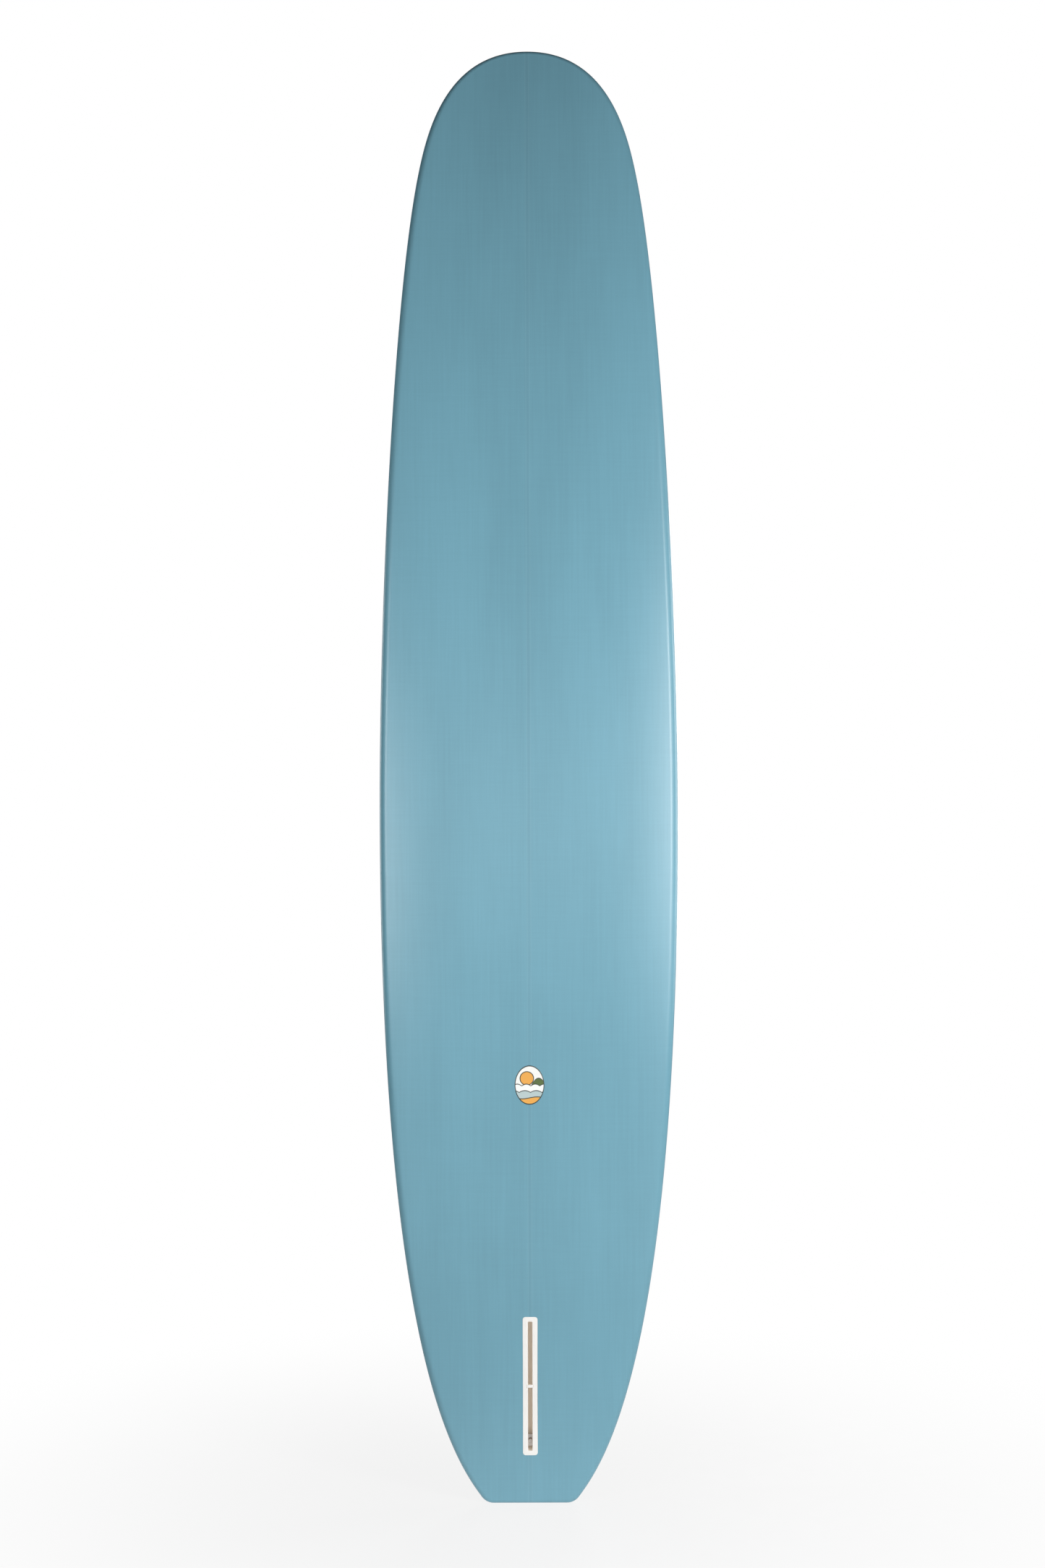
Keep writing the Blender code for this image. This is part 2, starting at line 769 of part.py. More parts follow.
def leash_pocket(cutters, frame):
    """What is drilled out of the deck: a counterbore for the flange and a hole for the bed."""
    above = 0.01
    wide = CUP_RADIUS + CUP_FLANGE_OVERHANG + GAP
    narrow = CUP_RADIUS + 2 * GAP + LEASH_BED_WALL
    step = -CUP_FLANGE_THICKNESS - 2 * GAP - PATCH
    floor = -CUP_DEPTH - 2 * GAP - LEASH_BED_WALL
    profile = [(0, above), (wide, above), (wide, step), (narrow, step), (narrow, floor), (0, floor)]
    return as_cutter(turned("leash_room", profile, cutters, parent=frame))


def main():
    clear_scene()
    board = new_collection("longboard")
    cutters = new_collection("cutters")
    finishes = {
        "foam": new_material("white foam", (0.85, 0.84, 0.80), 0.9),
        "timber": new_material("basswood", (0.62, 0.45, 0.27), 0.7),
        "tint": new_material("blue tinted laminate", (0.16, 0.38, 0.48), 0.35),
        "cloth": new_material("clear deck laminate", (0.80, 0.80, 0.74), 0.35),
        "patch": new_material("deck patch cloth", (0.82, 0.84, 0.80), 0.6),
        "pinline": new_material("pinline", (0.05, 0.09, 0.12), 0.4),
        "badge": new_material("badge print", (0.85, 0.78, 0.62), 0.4),
        "box": new_material("white fin box plastic", (0.86, 0.85, 0.82), 0.4),
        "resin": new_material("setting resin", (0.75, 0.78, 0.74), 0.3),
        "steel": new_material("stainless steel", (0.62, 0.61, 0.60), 0.3, 1.0),
        "cup": new_material("leash cup plastic", (0.86, 0.86, 0.84), 0.4),
    }
    left, right, stringer = make_blank(board, finishes)
    bottom = make_bottom_laminate(board, finishes)
    deck = make_deck_laminate(board, finishes)
    patch = make_deck_patch(board, finishes)
    make_pinline(board, finishes)
    make_badge(board, finishes)

    box_frame = fin_box_seat(cutters)
    make_fin_box(board, cutters, finishes, box_frame)
    make_fin_box_bed(board, cutters, finishes, box_frame)
    make_slot_plug(board, finishes, box_frame)
    place = plate_seat(cutters, box_frame)
    make_nut_plate(board, cutters, finishes, place)
    make_fin_screw(board, cutters, finishes, place)
    flange_room, bed_room = fin_box_pockets(cutters, box_frame)
    cut(bottom, flange_room)
    for piece in (left, right, stringer):
        cut(piece, flange_room, bed_room)

    cup_frame = leash_seat(cutters)
    make_leash_cup(board, cutters, finishes, cup_frame)
    make_leash_pin(board, finishes, cup_frame)
    make_leash_bed(board, finishes, cup_frame)
    leash_room = leash_pocket(cutters, cup_frame)
    for piece in (right, deck, patch):
        cut(piece, leash_room)


main()
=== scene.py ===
"""The finished look of a longboard surfboard that stands on its tail with its bottom forward.

It is laid out as an add-on: property groups hold the sizes and colours, an operator makes each group
of pieces round the packed frame, and main() runs them in order. Units are metres. +Z runs from the
tail to the nose, -Y is the bottom and +X is across the board.
"""

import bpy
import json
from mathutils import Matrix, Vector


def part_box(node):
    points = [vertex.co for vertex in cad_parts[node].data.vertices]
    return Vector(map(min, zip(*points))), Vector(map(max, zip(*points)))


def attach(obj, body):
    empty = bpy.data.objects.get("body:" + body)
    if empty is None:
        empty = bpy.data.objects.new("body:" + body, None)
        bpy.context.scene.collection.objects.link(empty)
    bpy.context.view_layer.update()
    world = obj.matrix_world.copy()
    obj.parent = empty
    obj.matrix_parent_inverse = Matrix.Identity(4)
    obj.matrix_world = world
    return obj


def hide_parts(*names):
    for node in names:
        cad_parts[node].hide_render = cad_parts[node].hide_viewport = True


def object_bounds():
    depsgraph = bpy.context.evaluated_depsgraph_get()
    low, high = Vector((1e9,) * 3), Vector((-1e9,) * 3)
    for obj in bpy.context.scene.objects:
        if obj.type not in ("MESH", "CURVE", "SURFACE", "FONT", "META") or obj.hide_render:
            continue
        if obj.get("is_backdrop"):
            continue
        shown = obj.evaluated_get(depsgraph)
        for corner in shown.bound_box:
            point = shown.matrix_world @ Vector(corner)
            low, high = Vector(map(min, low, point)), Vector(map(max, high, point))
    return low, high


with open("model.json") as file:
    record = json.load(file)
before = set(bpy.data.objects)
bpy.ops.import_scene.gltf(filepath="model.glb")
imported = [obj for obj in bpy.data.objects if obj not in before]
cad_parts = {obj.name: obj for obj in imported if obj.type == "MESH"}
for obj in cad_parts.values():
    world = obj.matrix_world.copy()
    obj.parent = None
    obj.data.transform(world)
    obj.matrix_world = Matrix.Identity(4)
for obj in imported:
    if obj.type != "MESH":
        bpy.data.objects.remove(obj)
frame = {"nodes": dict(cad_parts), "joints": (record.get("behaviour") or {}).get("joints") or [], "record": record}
CAD_LOW, CAD_HIGH = (tuple(corner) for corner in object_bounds())

import json
import math
from types import SimpleNamespace

import bmesh
import bpy
from bpy.props import FloatProperty, FloatVectorProperty, IntProperty, PointerProperty
from mathutils import Matrix, Vector

bl_info = {
    "name": "Longboard surfboard",
    "version": (1, 0, 0),
    "blender": (4, 5, 0),
    "location": "3D View > Sidebar > Surfboard",
    "description": "Builds a glassed longboard with its fin box, leash plug, badge and studio",
    "category": "Object",
}

MM = 0.001

# The outline in plan, from the tail corner to the wide point, the shoulder and the nose.
WIDE_POINT = 1.35
TAIL_END_CUT = 0.6 * MM
TAIL_SIDE_WIDTH = 0.173
TAIL_SIDE_ANGLE = math.radians(36.7)
TAIL_SIDE_HANDLE = 0.081
TAIL_CORNER = 0.029
WIDE_HANDLE_DOWN = 1.10
WIDE_HANDLE_UP = 0.376
SHOULDER_SHARE = 0.73739
SHOULDER_BELOW_NOSE = 0.2465
SHOULDER_ANGLE = math.radians(11.2)
SHOULDER_HANDLE_DOWN = 0.244
SHOULDER_HANDLE_UP = 0.078
NOSE_HANDLE = 0.161

# How the rocker, foil and section curve.
TAIL_ROCKER_POWER = 2.2
NOSE_ROCKER_POWER = 2.4
TAIL_FOIL_POWER = 2.9
NOSE_FOIL_POWER = 2.1
BOTTOM_SHARE = 0.45
MIDDLE_FULLNESS = 0.2466
END_FULLNESS = 0.435
BOTTOM_POWER = 3.5
DECK_POWER = 2.2
TAIL_FAN = 0.10
NOSE_FAN = 0.19

# Steps of the fine meshes.
END_STEPS = 8
CORNER_STEPS = 14
CURVE_STEPS = (110, 64, 56)
NOSE_DENSITY = 0.7
FACE_STEPS = 14
RAIL_STEPS = 12
LAP_STEPS = 4
RING_STEPS = 7
ROUND_STEPS = 64
PIN_STEPS = 32
THREAD_STEPS = 20
BADGE_STEPS = 12
PINLINE_STEPS = 8
FLOOR_STEPS = 96
BEAD_STEP = 6 * MM

WELD = 0.001 * MM
ROW_WELD = 0.01 * MM
SHARP_ANGLE = math.radians(35)
PINLINE_LIFT = 0.03 * MM
PINLINE_FLATNESS = 4
FLOOR_RADIUS = 3.8

PALE_GLUE = (0.75, 0.85, 0.88)
# The strength of the painted light that glows inside the slot, a faint fill where the lights hardly reach.
SLOT_PAINTED_GLOW = 0.07


# Node wiring: a socket that takes part in sums, and one method that makes any node.


def both_ways(operation):
    """The plain and the reflected form of an operator on sockets."""

    def forward(self, other):
        return self.wiring.math(operation, self, other)

    def reflected(self, other):
        return self.wiring.math(operation, other, self)

    return forward, reflected


class Wire:
    """An output socket. Sums on it add Math nodes, and [name] is another output of its node."""

    __add__, __radd__ = both_ways("ADD")
    __sub__, __rsub__ = both_ways("SUBTRACT")
    __mul__, __rmul__ = both_ways("MULTIPLY")
    __truediv__, __rtruediv__ = both_ways("DIVIDE")
    __pow__, __rpow__ = both_ways("POWER")

    def __init__(self, wiring, socket):
        self.wiring = wiring
        self.socket = socket

    def __getitem__(self, key):
        return Wire(self.wiring, find_socket(self.socket.node.outputs, key))

    def __abs__(self):
        return self.wiring.math("ABSOLUTE", self)


def find_socket(sockets, key):
    if isinstance(key, int):
        return sockets[key]
    return next(s for s in sockets if key in (s.identifier, s.name) and s.enabled)


class Wiring:
    """A node tree that is built with expressions."""

    def __init__(self, tree):
        self.tree = tree

    def node(self, kind, settings=None, sockets=None):
        """A new node: its settings come first, and then the values or links of its sockets."""
        made = self.tree.nodes.new(kind)
        for name, value in (settings or {}).items():
            setattr(made, name, value)
        for key, value in (sockets or {}).items():
            self.feed(find_socket(made.inputs, key), value)
        return Wire(self, made.outputs[0]) if made.outputs else made

    def feed(self, socket, value):
        if isinstance(value, Wire):
            self.tree.links.new(value.socket, socket)
        elif socket.type == "RGBA" and len(value) == 3:
            socket.default_value = (*value, 1)
        else:
            socket.default_value = value

    def math(self, operation, *values):
        return self.node("ShaderNodeMath", {"operation": operation}, dict(enumerate(values)))

    def parts(self, vector):
        split = self.node("ShaderNodeSeparateXYZ", sockets={0: vector})
        return split["X"], split["Y"], split["Z"]

    def joined(self, x, y, z):
        return self.node("ShaderNodeCombineXYZ", sockets={"X": x, "Y": y, "Z": z})

    def step(self, value, low, high):
        """0 below low and 1 above high, with a soft change between them."""
        return self.node(
            "ShaderNodeMapRange",
            {"interpolation_type": "SMOOTHSTEP"},
            {"Value": value, "From Min": low, "From Max": high},
        )

    def band(self, value, half, soft):
        """1 within half either side of zero, fading over the soft distance outside it."""
        return 1 - self.step(abs(value), half, half + soft)

    def mix(self, share, low, high):
        return self.node(
            "ShaderNodeMix",
            {"data_type": "RGBA"},
            {"Factor_Float": share, "A_Color": low, "B_Color": high},
        )["Result_Color"]

    def place(self, scale=(1, 1, 1)):
        """Object coordinates, stretched by a scale along each axis."""
        here = self.node("ShaderNodeTexCoord")["Object"]
        return self.node("ShaderNodeVectorMath", {"operation": "MULTIPLY"}, {0: here, 1: scale})

    def noise(self, scale, detail=3.0, rough=0.5):
        """Noise from 0 to 1 whose cells are 1/scale metres along each axis."""
        return self.node(
            "ShaderNodeTexNoise",
            sockets={"Vector": self.place(scale), "Scale": 1.0, "Detail": detail, "Roughness": rough},
        )


# The board's shape. Each rule takes numbers or sockets, so the mesh code and the node trees share it.


def at_least(value, low):
    return value.wiring.math("MAXIMUM", value, low) if isinstance(value, Wire) else max(value, low)


def at_most(value, high):
    return value.wiring.math("MINIMUM", value, high) if isinstance(value, Wire) else min(value, high)


def run_out(shape, z):
    """How far a height is from the flat point towards the tail and the nose, each 0 to 1."""
    tail = at_least((shape.flat_point - z) / shape.flat_point, 0)
    nose = at_least((z - shape.flat_point) / (shape.length - shape.flat_point), 0)
    return tail, nose


def thickness(shape, z):
    tail, nose = run_out(shape, z)
    thinner = (shape.thickness - shape.tail_thickness) * tail**TAIL_FOIL_POWER
    thinner = thinner + (shape.thickness - shape.nose_thickness) * nose**NOSE_FOIL_POWER
    return shape.thickness - thinner


def rail_radius(shape, z):
    tail, nose = run_out(shape, z)
    taper = tail**TAIL_FOIL_POWER + nose**NOSE_FOIL_POWER
    return (MIDDLE_FULLNESS + (END_FULLNESS - MIDDLE_FULLNESS) * taper) * thickness(shape, z)


def middle(shape, z):
    """Y of the rail's apex line."""
    tail, nose = run_out(shape, z)
    rocker = shape.tail_rocker * tail**TAIL_ROCKER_POWER
    rocker = rocker + shape.nose_rocker * nose**NOSE_ROCKER_POWER
    return rocker - shape.tail_rocker + BOTTOM_SHARE * (thickness(shape, z) - shape.tail_thickness)


def crown(shape, face, z):
    """How far the deck (face 1) or the bottom (face -1) rises above the top of the rail's round."""
    return (0.5 + (0.5 - BOTTOM_SHARE) * face) * thickness(shape, z) - rail_radius(shape, z)


def section_power(face):
    return (DECK_POWER + BOTTOM_POWER) / 2 + (DECK_POWER - BOTTOM_POWER) / 2 * face


def bezier(points, t):
    a, b, c, d = points
    u = 1 - t
    return u**3 * a + 3 * u * u * t * b + 3 * u * t * t * c + t**3 * d


def bezier_normal(points, t):
    a, b, c, d = points
    u = 1 - t
    tangent = u * u * (b - a) + 2 * u * t * (c - b) + t * t * (d - c)
    return Vector((tangent.y, -tangent.x)).normalized()


def outline_curves(board):
    """The right half's three curves in plan, as Bezier points (x, z) that run up the board."""
    corner = Vector((TAIL_SIDE_WIDTH / 2, 0))
    flare = Vector((math.sin(TAIL_SIDE_ANGLE), math.cos(TAIL_SIDE_ANGLE)))
    wide = Vector((board.width / 2, WIDE_POINT))
    shoulder = Vector((SHOULDER_SHARE * board.width / 2, board.length - SHOULDER_BELOW_NOSE))
    lean = Vector((-math.sin(SHOULDER_ANGLE), math.cos(SHOULDER_ANGLE)))
    nose = Vector((0, board.length))
    lower = (corner, corner + TAIL_SIDE_HANDLE * flare, wide - Vector((0, WIDE_HANDLE_DOWN)), wide)
    upper = (wide, wide + Vector((0, WIDE_HANDLE_UP)), shoulder - SHOULDER_HANDLE_DOWN * lean, shoulder)
    tip = (shoulder, shoulder + SHOULDER_HANDLE_UP * lean, nose + Vector((NOSE_HANDLE, 0)), nose)
    return lower, upper, tip


def corner_round(lower):
    """The round between the tail's end and its side: its centre, and where it meets the side."""
    low, high = 0.0, 1.0
    for _ in range(40):
        t = (low + high) / 2
        centre = bezier(lower, t) - TAIL_CORNER * bezier_normal(lower, t)
        if centre.y < TAIL_CORNER - TAIL_END_CUT:
            low = t
        else:
            high = t
    return centre, t


def rail_line(board):
    """Stations round the right half, from the tail's middle to the nose: (point, outward normal)."""
    curves = outline_curves(board)
    centre, start = corner_round(curves[0])
    down = Vector((0, -1))
    foot = centre + TAIL_CORNER * down
    line = [(Vector((foot.x * i / END_STEPS, foot.y)), down) for i in range(END_STEPS)]
    side = bezier_normal(curves[0], start)
    turn = math.pi / 2 + math.atan2(side.y, side.x)
    for i in range(CORNER_STEPS):
        a = turn * i / CORNER_STEPS
        normal = Vector((math.sin(a), -math.cos(a)))
        line.append((centre + TAIL_CORNER * normal, normal))
    for curve, steps, first in zip(curves, CURVE_STEPS, (start, 0, 0)):
        for i in range(steps):
            share = i / steps
            if curve is curves[2]:
                share = 1 - (1 - share) ** (1 / NOSE_DENSITY)
            t = first + (1 - first) * share
            line.append((bezier(curve, t), bezier_normal(curve, t)))
    line.append((Vector((0, board.length)), Vector((0, 1))))
    return line


def stations(board):
    """(point, normal) for every rib round the board, up the right side and down the left."""
    right = rail_line(board)
    left = [(Vector((-p.x, p.y)), Vector((-n.x, n.y))) for p, n in right[1:-1]]
    return right + left[::-1]


def core_half_width(board, z):
    """Half the width inside the rail's round at a height."""
    edges = [p - rail_radius(board, p.y) * n for p, n in rail_line(board)]
    for low, high in zip(edges, edges[1:]):
        if low.y <= z <= high.y and high.y > low.y:
            return low.x + (high.x - low.x) * (z - low.y) / (high.y - low.y)
    raise ValueError(f"{z} m is not on the board")


def bottom_height(board, x, z):
    """Y of the bottom's outer surface where the ribs run straight across."""
    share = abs(x) / core_half_width(board, z)
    return middle(board, z) - crown(board, -1, z) * (1 - share**BOTTOM_POWER) - rail_radius(board, z)


# Rows that run round the board. Each is a dictionary of what the layer tree reads from its points.

ROW = {"face": 1, "part": 1, "reach": 0, "line": 0, "turn": 1, "depth": 0}


def row(**values):
    return {**ROW, **values}


def face_rows(face, depth, steps):
    """Rows from the spine to the rail's round, closer together towards the rail."""
    shares = [math.sin(math.pi / 2 * i / steps) for i in range(steps + 1)]
    return [row(face=face, part=share, depth=depth) for share in shares]


def rail_rows(depth, steps):
    """Rows over the rail's round, from the bottom to the deck."""
    turns = [i / steps for i in range(1 - steps, steps)]
    return [row(face=-1 if t < 0 else 1, turn=abs(t), depth=depth) for t in turns]


def lap_rows(line, depth, steps):
    """Rows on the deck, from the rail's round in to a line that follows the outline."""
    return [row(line=line, reach=i / steps, depth=depth) for i in range(steps + 1)]


def inner_rows(line, depth, steps):
    """Rows on the deck from the spine out to a line that follows the outline."""
    return [row(line=line, reach=1, part=i / steps, depth=depth) for i in range(steps + 1)]


def lattice(name, board, rows, closed=False):
    """A flat mesh of every row at every station, which the layer tree shapes into a skin."""
    ribs = stations(board)
    count = len(ribs)
    mesh = bpy.data.meshes.new(name)
    pairs = [(i, i + 1) for i in range(len(rows) - 1)] + ([(len(rows) - 1, 0)] if closed else [])
    faces = []
    for a, b in pairs:
        for i in range(count):
            j = (i + 1) % count
            faces.append((a * count + i, a * count + j, b * count + j, b * count + i))
    mesh.from_pydata([(p.x, 0, p.y) for p, _ in ribs] * len(rows), [], faces)
    across = mesh.attributes.new("rail_normal", "FLOAT_VECTOR", "POINT")
    across.data.foreach_set("vector", [c for _, n in ribs for c in (n.x, 0, n.y)] * len(rows))
    for key in ROW:
        values = [r[key] for r in rows for _ in ribs]
        mesh.attributes.new(key, "FLOAT", "POINT").data.foreach_set("value", values)
    made = bpy.data.objects.new(name, mesh)
    bpy.context.scene.collection.objects.link(made)
    return made


SHAPE_INPUTS = (
    "length",
    "thickness",
    "tail_thickness",
    "nose_thickness",
    "tail_rocker",
    "nose_rocker",
    "flat_point",
)


def new_tree(name, inputs):
    """A Geometry Nodes tree with named inputs, its wiring, and its group input's first socket."""
    tree = bpy.data.node_groups.new(name, "GeometryNodeTree")
    tree.interface.new_socket("Geometry", in_out="INPUT", socket_type="NodeSocketGeometry")
    for label, kind in inputs:
        tree.interface.new_socket(label, in_out="INPUT", socket_type=kind)
    tree.interface.new_socket("Geometry", in_out="OUTPUT", socket_type="NodeSocketGeometry")
    wiring = Wiring(tree)
    return tree, wiring, wiring.node("NodeGroupInput")


def close_tree(wiring, geometry, start):
    """Ends a tree with smooth shading, real instances and the material that was passed in."""
    geometry = wiring.node("GeometryNodeSetShadeSmooth", sockets={"Geometry": geometry})
    geometry = wiring.node("GeometryNodeRealizeInstances", sockets={"Geometry": geometry})
    geometry = wiring.node(
        "GeometryNodeSetMaterial", sockets={"Geometry": geometry, "Material": start["Material"]}
    )
    wiring.node("NodeGroupOutput", sockets={"Geometry": geometry})


def label_of(key):
    return key.replace("_", " ").capitalize()


def layer_tree():
    """Moves each point of a lattice to its place on, in or over the board's surface."""
    inputs = [(label_of(key), "NodeSocketFloat") for key in SHAPE_INPUTS]
    tree, wiring, start = new_tree("Board layer", [*inputs, ("Material", "NodeSocketMaterial")])
    shape = SimpleNamespace(**{key: start[label_of(key)] for key in SHAPE_INPUTS})

    def read(name, kind="FLOAT"):
        return wiring.node(
            "GeometryNodeInputNamedAttribute", {"data_type": kind}, {"Name": name}
        )["Attribute"]

    face, part, reach, line, turn, depth = (read(key) for key in ROW)
    point_x, _, point_z = wiring.parts(wiring.node("GeometryNodeInputPosition"))
    out_x, _, out_z = wiring.parts(read("rail_normal", "FLOAT_VECTOR"))
    side = wiring.math("SIGN", point_x)
    radius = rail_radius(shape, at_least(point_z, 0))
    edge_x = side * at_least(abs(point_x) - radius * abs(out_x), 0)
    edge_z = point_z - radius * out_z
    spine = at_most(at_least(edge_z, TAIL_FAN), shape.length - NOSE_FAN)
    rib = wiring.math("SQRT", edge_x**2 + (edge_z - spine) ** 2)
    share = part * (1 - reach * (line - radius) / rib)
    plan_z = spine + share * (edge_z - spine)
    power = section_power(face)
    slope = crown(shape, face, edge_z) * power * share ** (power - 1) / rib
    angle = face * turn * (math.pi / 2 - wiring.math("ARCTANGENT", slope))
    out = (radius - depth) * wiring.math("COSINE", angle)
    rise = face * crown(shape, face, plan_z) * (1 - share**power)
    swell = (rail_radius(shape, plan_z) - depth) * wiring.math("SINE", angle)
    place = wiring.joined(
        share * edge_x + out * out_x,
        middle(shape, plan_z) + rise + swell,
        at_least(plan_z + out * out_z, depth),
    )
    geometry = wiring.node(
        "GeometryNodeSetPosition", sockets={"Geometry": start["Geometry"], "Position": place}
    )
    geometry = wiring.node(
        "GeometryNodeMergeByDistance", sockets={"Geometry": geometry, "Distance": ROW_WELD}
    )
    close_tree(wiring, geometry, start)
    return tree


def path_tree():
    """Runs a round bead along a path."""
    inputs = [("Radius", "NodeSocketFloat"), ("Sides", "NodeSocketInt")]
    tree, wiring, start = new_tree("Bead along a path", [*inputs, ("Material", "NodeSocketMaterial")])
    ring = wiring.node(
        "GeometryNodeCurvePrimitiveCircle",
        {"mode": "RADIUS"},
        {"Radius": start["Radius"], "Resolution": start["Sides"]},
    )
    geometry = wiring.node(
        "GeometryNodeCurveToMesh",
        sockets={"Curve": start["Geometry"], "Profile Curve": ring, "Fill Caps": True},
    )
    close_tree(wiring, geometry, start)
    return tree


def tree_named(name, make):
    return bpy.data.node_groups.get(name) or make()


def through(made, tree, values):
    """The object's shape after a tree, as a new plain mesh object with the same name."""
    modifier = made.modifiers.new(tree.name, "NODES")
    modifier.node_group = tree
    for item in tree.interface.items_tree:
        if item.in_out == "INPUT" and item.name in values:
            modifier[item.identifier] = values[item.name]
    return baked(made)


def baked(made):
    """A plain mesh object in place of one with modifiers, closed and with its faces outward."""
    bpy.context.view_layer.update()
    graph = bpy.context.evaluated_depsgraph_get()
    mesh = bpy.data.meshes.new_from_object(made.evaluated_get(graph), depsgraph=graph)
    name = made.name
    bpy.data.objects.remove(made)
    return added(name, tidy(mesh))


def tidy(mesh):
    """Welds a mesh, turns its faces outward and smooths it but for its sharp edges."""
    bm = bmesh.new()
    bm.from_mesh(mesh)
    bmesh.ops.remove_doubles(bm, verts=bm.verts, dist=WELD)
    bmesh.ops.recalc_face_normals(bm, faces=bm.faces)
    bm.to_mesh(mesh)
    bm.free()
    for attribute in list(mesh.attributes):
        if attribute.name in ROW or attribute.name == "rail_normal":
            mesh.attributes.remove(attribute)
    mesh.shade_smooth()
    mesh.set_sharp_from_angle(angle=SHARP_ANGLE)
    return mesh


def added(name, mesh):
    mesh.name = name
    made = bpy.data.objects.new(name, mesh)
    bpy.context.scene.collection.objects.link(made)
    return made


def from_bmesh(name, bm, where, material):
    """A piece from a bmesh whose points are turned into place by a matrix."""
    bmesh.ops.transform(bm, matrix=where, verts=bm.verts)
    mesh = bpy.data.meshes.new(name)
    bm.to_mesh(mesh)
    bm.free()
    mesh.materials.append(material)
    return added(name, tidy(mesh))


def cut(made, *cutters):
    """The piece with the cutters taken out of it; the cutters are used up."""
    for cutter in cutters:
        boolean = made.modifiers.new(cutter.name, "BOOLEAN")
        boolean.operation = "DIFFERENCE"
        boolean.solver = "EXACT"
        boolean.object = cutter
    made = baked(made)
    for cutter in cutters:
        bpy.data.objects.remove(cutter)
    return made


def settle(made, body, slot, *nodes):
    """Fixes a finished piece to its body and hides the parts that it stands for."""
    if nodes:
        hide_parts(*nodes)
    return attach(made, body)


# Shapes made ring by ring.


def rounded_ring(half_width, half_length, corner):
    """Points round a rectangle with rounded corners."""
    points = []
    for quarter, (x, y) in enumerate(((1, 1), (-1, 1), (-1, -1), (1, -1))):
        for i in range(RING_STEPS + 1):
            a = math.pi / 2 * (quarter + i / RING_STEPS)
            points.append(
                (
                    x * (half_width - corner) + corner * math.cos(a),
                    y * (half_length - corner) + corner * math.sin(a),
                )
            )
    return points


def softened(points, radii, steps=3):
    """A line of points with its corners rounded, each by its own radius."""
    line = [Vector(points[0])]
    for before, here, after, radius in zip(points, points[1:], points[2:], radii):
        before, here, after = Vector(before), Vector(here), Vector(after)
        if not radius:
            line.append(here)
            continue
        start = here + (before - here) * min(0.45, radius / (before - here).length)
        end = here + (after - here) * min(0.45, radius / (after - here).length)
        for i in range(steps + 1):
            t = i / steps
            line.append((1 - t) ** 2 * start + 2 * t * (1 - t) * here + t * t * end)
    return [*line, Vector(points[-1])]


def lofted(rings):
    """A closed solid through rings of equal count, filled at the first and the last."""
    bm = bmesh.new()
    loops = [[bm.verts.new(p) for p in ring] for ring in rings]
    for a, b in zip(loops, loops[1:]):
        for i in range(len(a)):
            j = (i + 1) % len(a)
            bm.faces.new((a[i], a[j], b[j], b[i]))
    bm.faces.new(loops[0])
    bm.faces.new(loops[-1])
    return bm


def loft_rectangles(profile):
    """A solid through rounded rectangles, each (half width, half length, corner, height)."""
    return lofted([[(x, y, p[3]) for x, y in rounded_ring(p[0], p[1], p[2])] for p in profile])


def plate(half_width, half_length, corner, top, bottom, edge=0.0):
    """A block with rounded upright edges, and its top and bottom edges eased."""
    full, inner = (half_width, half_length, corner), (half_width / 2, half_length / 2, corner / 2)
    corners = [(*inner, bottom), (*full, bottom), (*full, top), (*inner, top)]
    return loft_rectangles(softened(corners, (edge, edge)))


def on_circle(radius, angle, height):
    return Vector((radius * math.cos(angle), radius * math.sin(angle), height))


def turned(profile, steps=ROUND_STEPS):
    """A solid turned about Z from (radius, height) points; a radius of zero is a pole."""
    bm = bmesh.new()
    loops = []
    for radius, height in profile:
        angles = [2 * math.pi * i / steps for i in range(steps)] if radius > 1e-9 else [0]
        loops.append([bm.verts.new(on_circle(radius, a, height)) for a in angles])
    for a, b in zip(loops, loops[1:]):
        for i in range(steps):
            j = (i + 1) % steps
            corners = [a[i % len(a)], a[j % len(a)], b[j % len(b)], b[i % len(b)]]
            corners = list(dict.fromkeys(corners))
            if len(corners) > 2:
                bm.faces.new(corners)
    return bm


def seat(origin, up, outward):
    """The matrix whose Z points out of the surface and whose Y points up the board."""
    z = Vector(outward).normalized()
    x = Vector(up).cross(z).normalized()
    turn = Matrix((x, z.cross(x), z)).transposed().to_4x4()
    turn.translation = origin
    return turn


def centre_of(node):
    low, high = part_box(node)
    return (low + high) / 2


def joint_named(name):
    return next(joint for joint in frame["joints"] if joint["name"] == name)


def fin_box_seat(fittings):
    outward = Vector(joint_named("screw_turn")["axis"])
    origin = centre_of("slot_plug") + fittings.plug_thickness / 2 * outward
    return seat(origin, joint_named("nut_plate_slide")["axis"], outward)


def nut_seat():
    turn = joint_named("screw_turn")
    return seat(turn["pos_m"], joint_named("nut_plate_slide")["axis"], turn["axis"])


def leash_seat(fittings):
    mount = next(m for m in frame["record"]["mounts"] if m["name"] == "leash_plug_face")
    outward = Vector(mount["axis"])
    origin = centre_of("leash_pin") + fittings.pin_depth * outward
    return seat(origin, Vector(mount["pos_m"]) - origin, outward)


def bead(name, points, closed, radius, sides, material):
    """A round bead of material along a line of points."""
    curve = bpy.data.curves.new(name, "CURVE")
    curve.dimensions = "3D"
    spline = curve.splines.new("POLY")
    spline.points.add(len(points) - 1)
    for target, point in zip(spline.points, points):
        target.co = (*point, 1)
    spline.use_cyclic_u = closed
    made = bpy.data.objects.new(name, curve)
    bpy.context.scene.collection.objects.link(made)
    tree = tree_named("Bead along a path", path_tree)
    return through(made, tree, {"Radius": radius, "Sides": sides, "Material": material})


# Finishes.


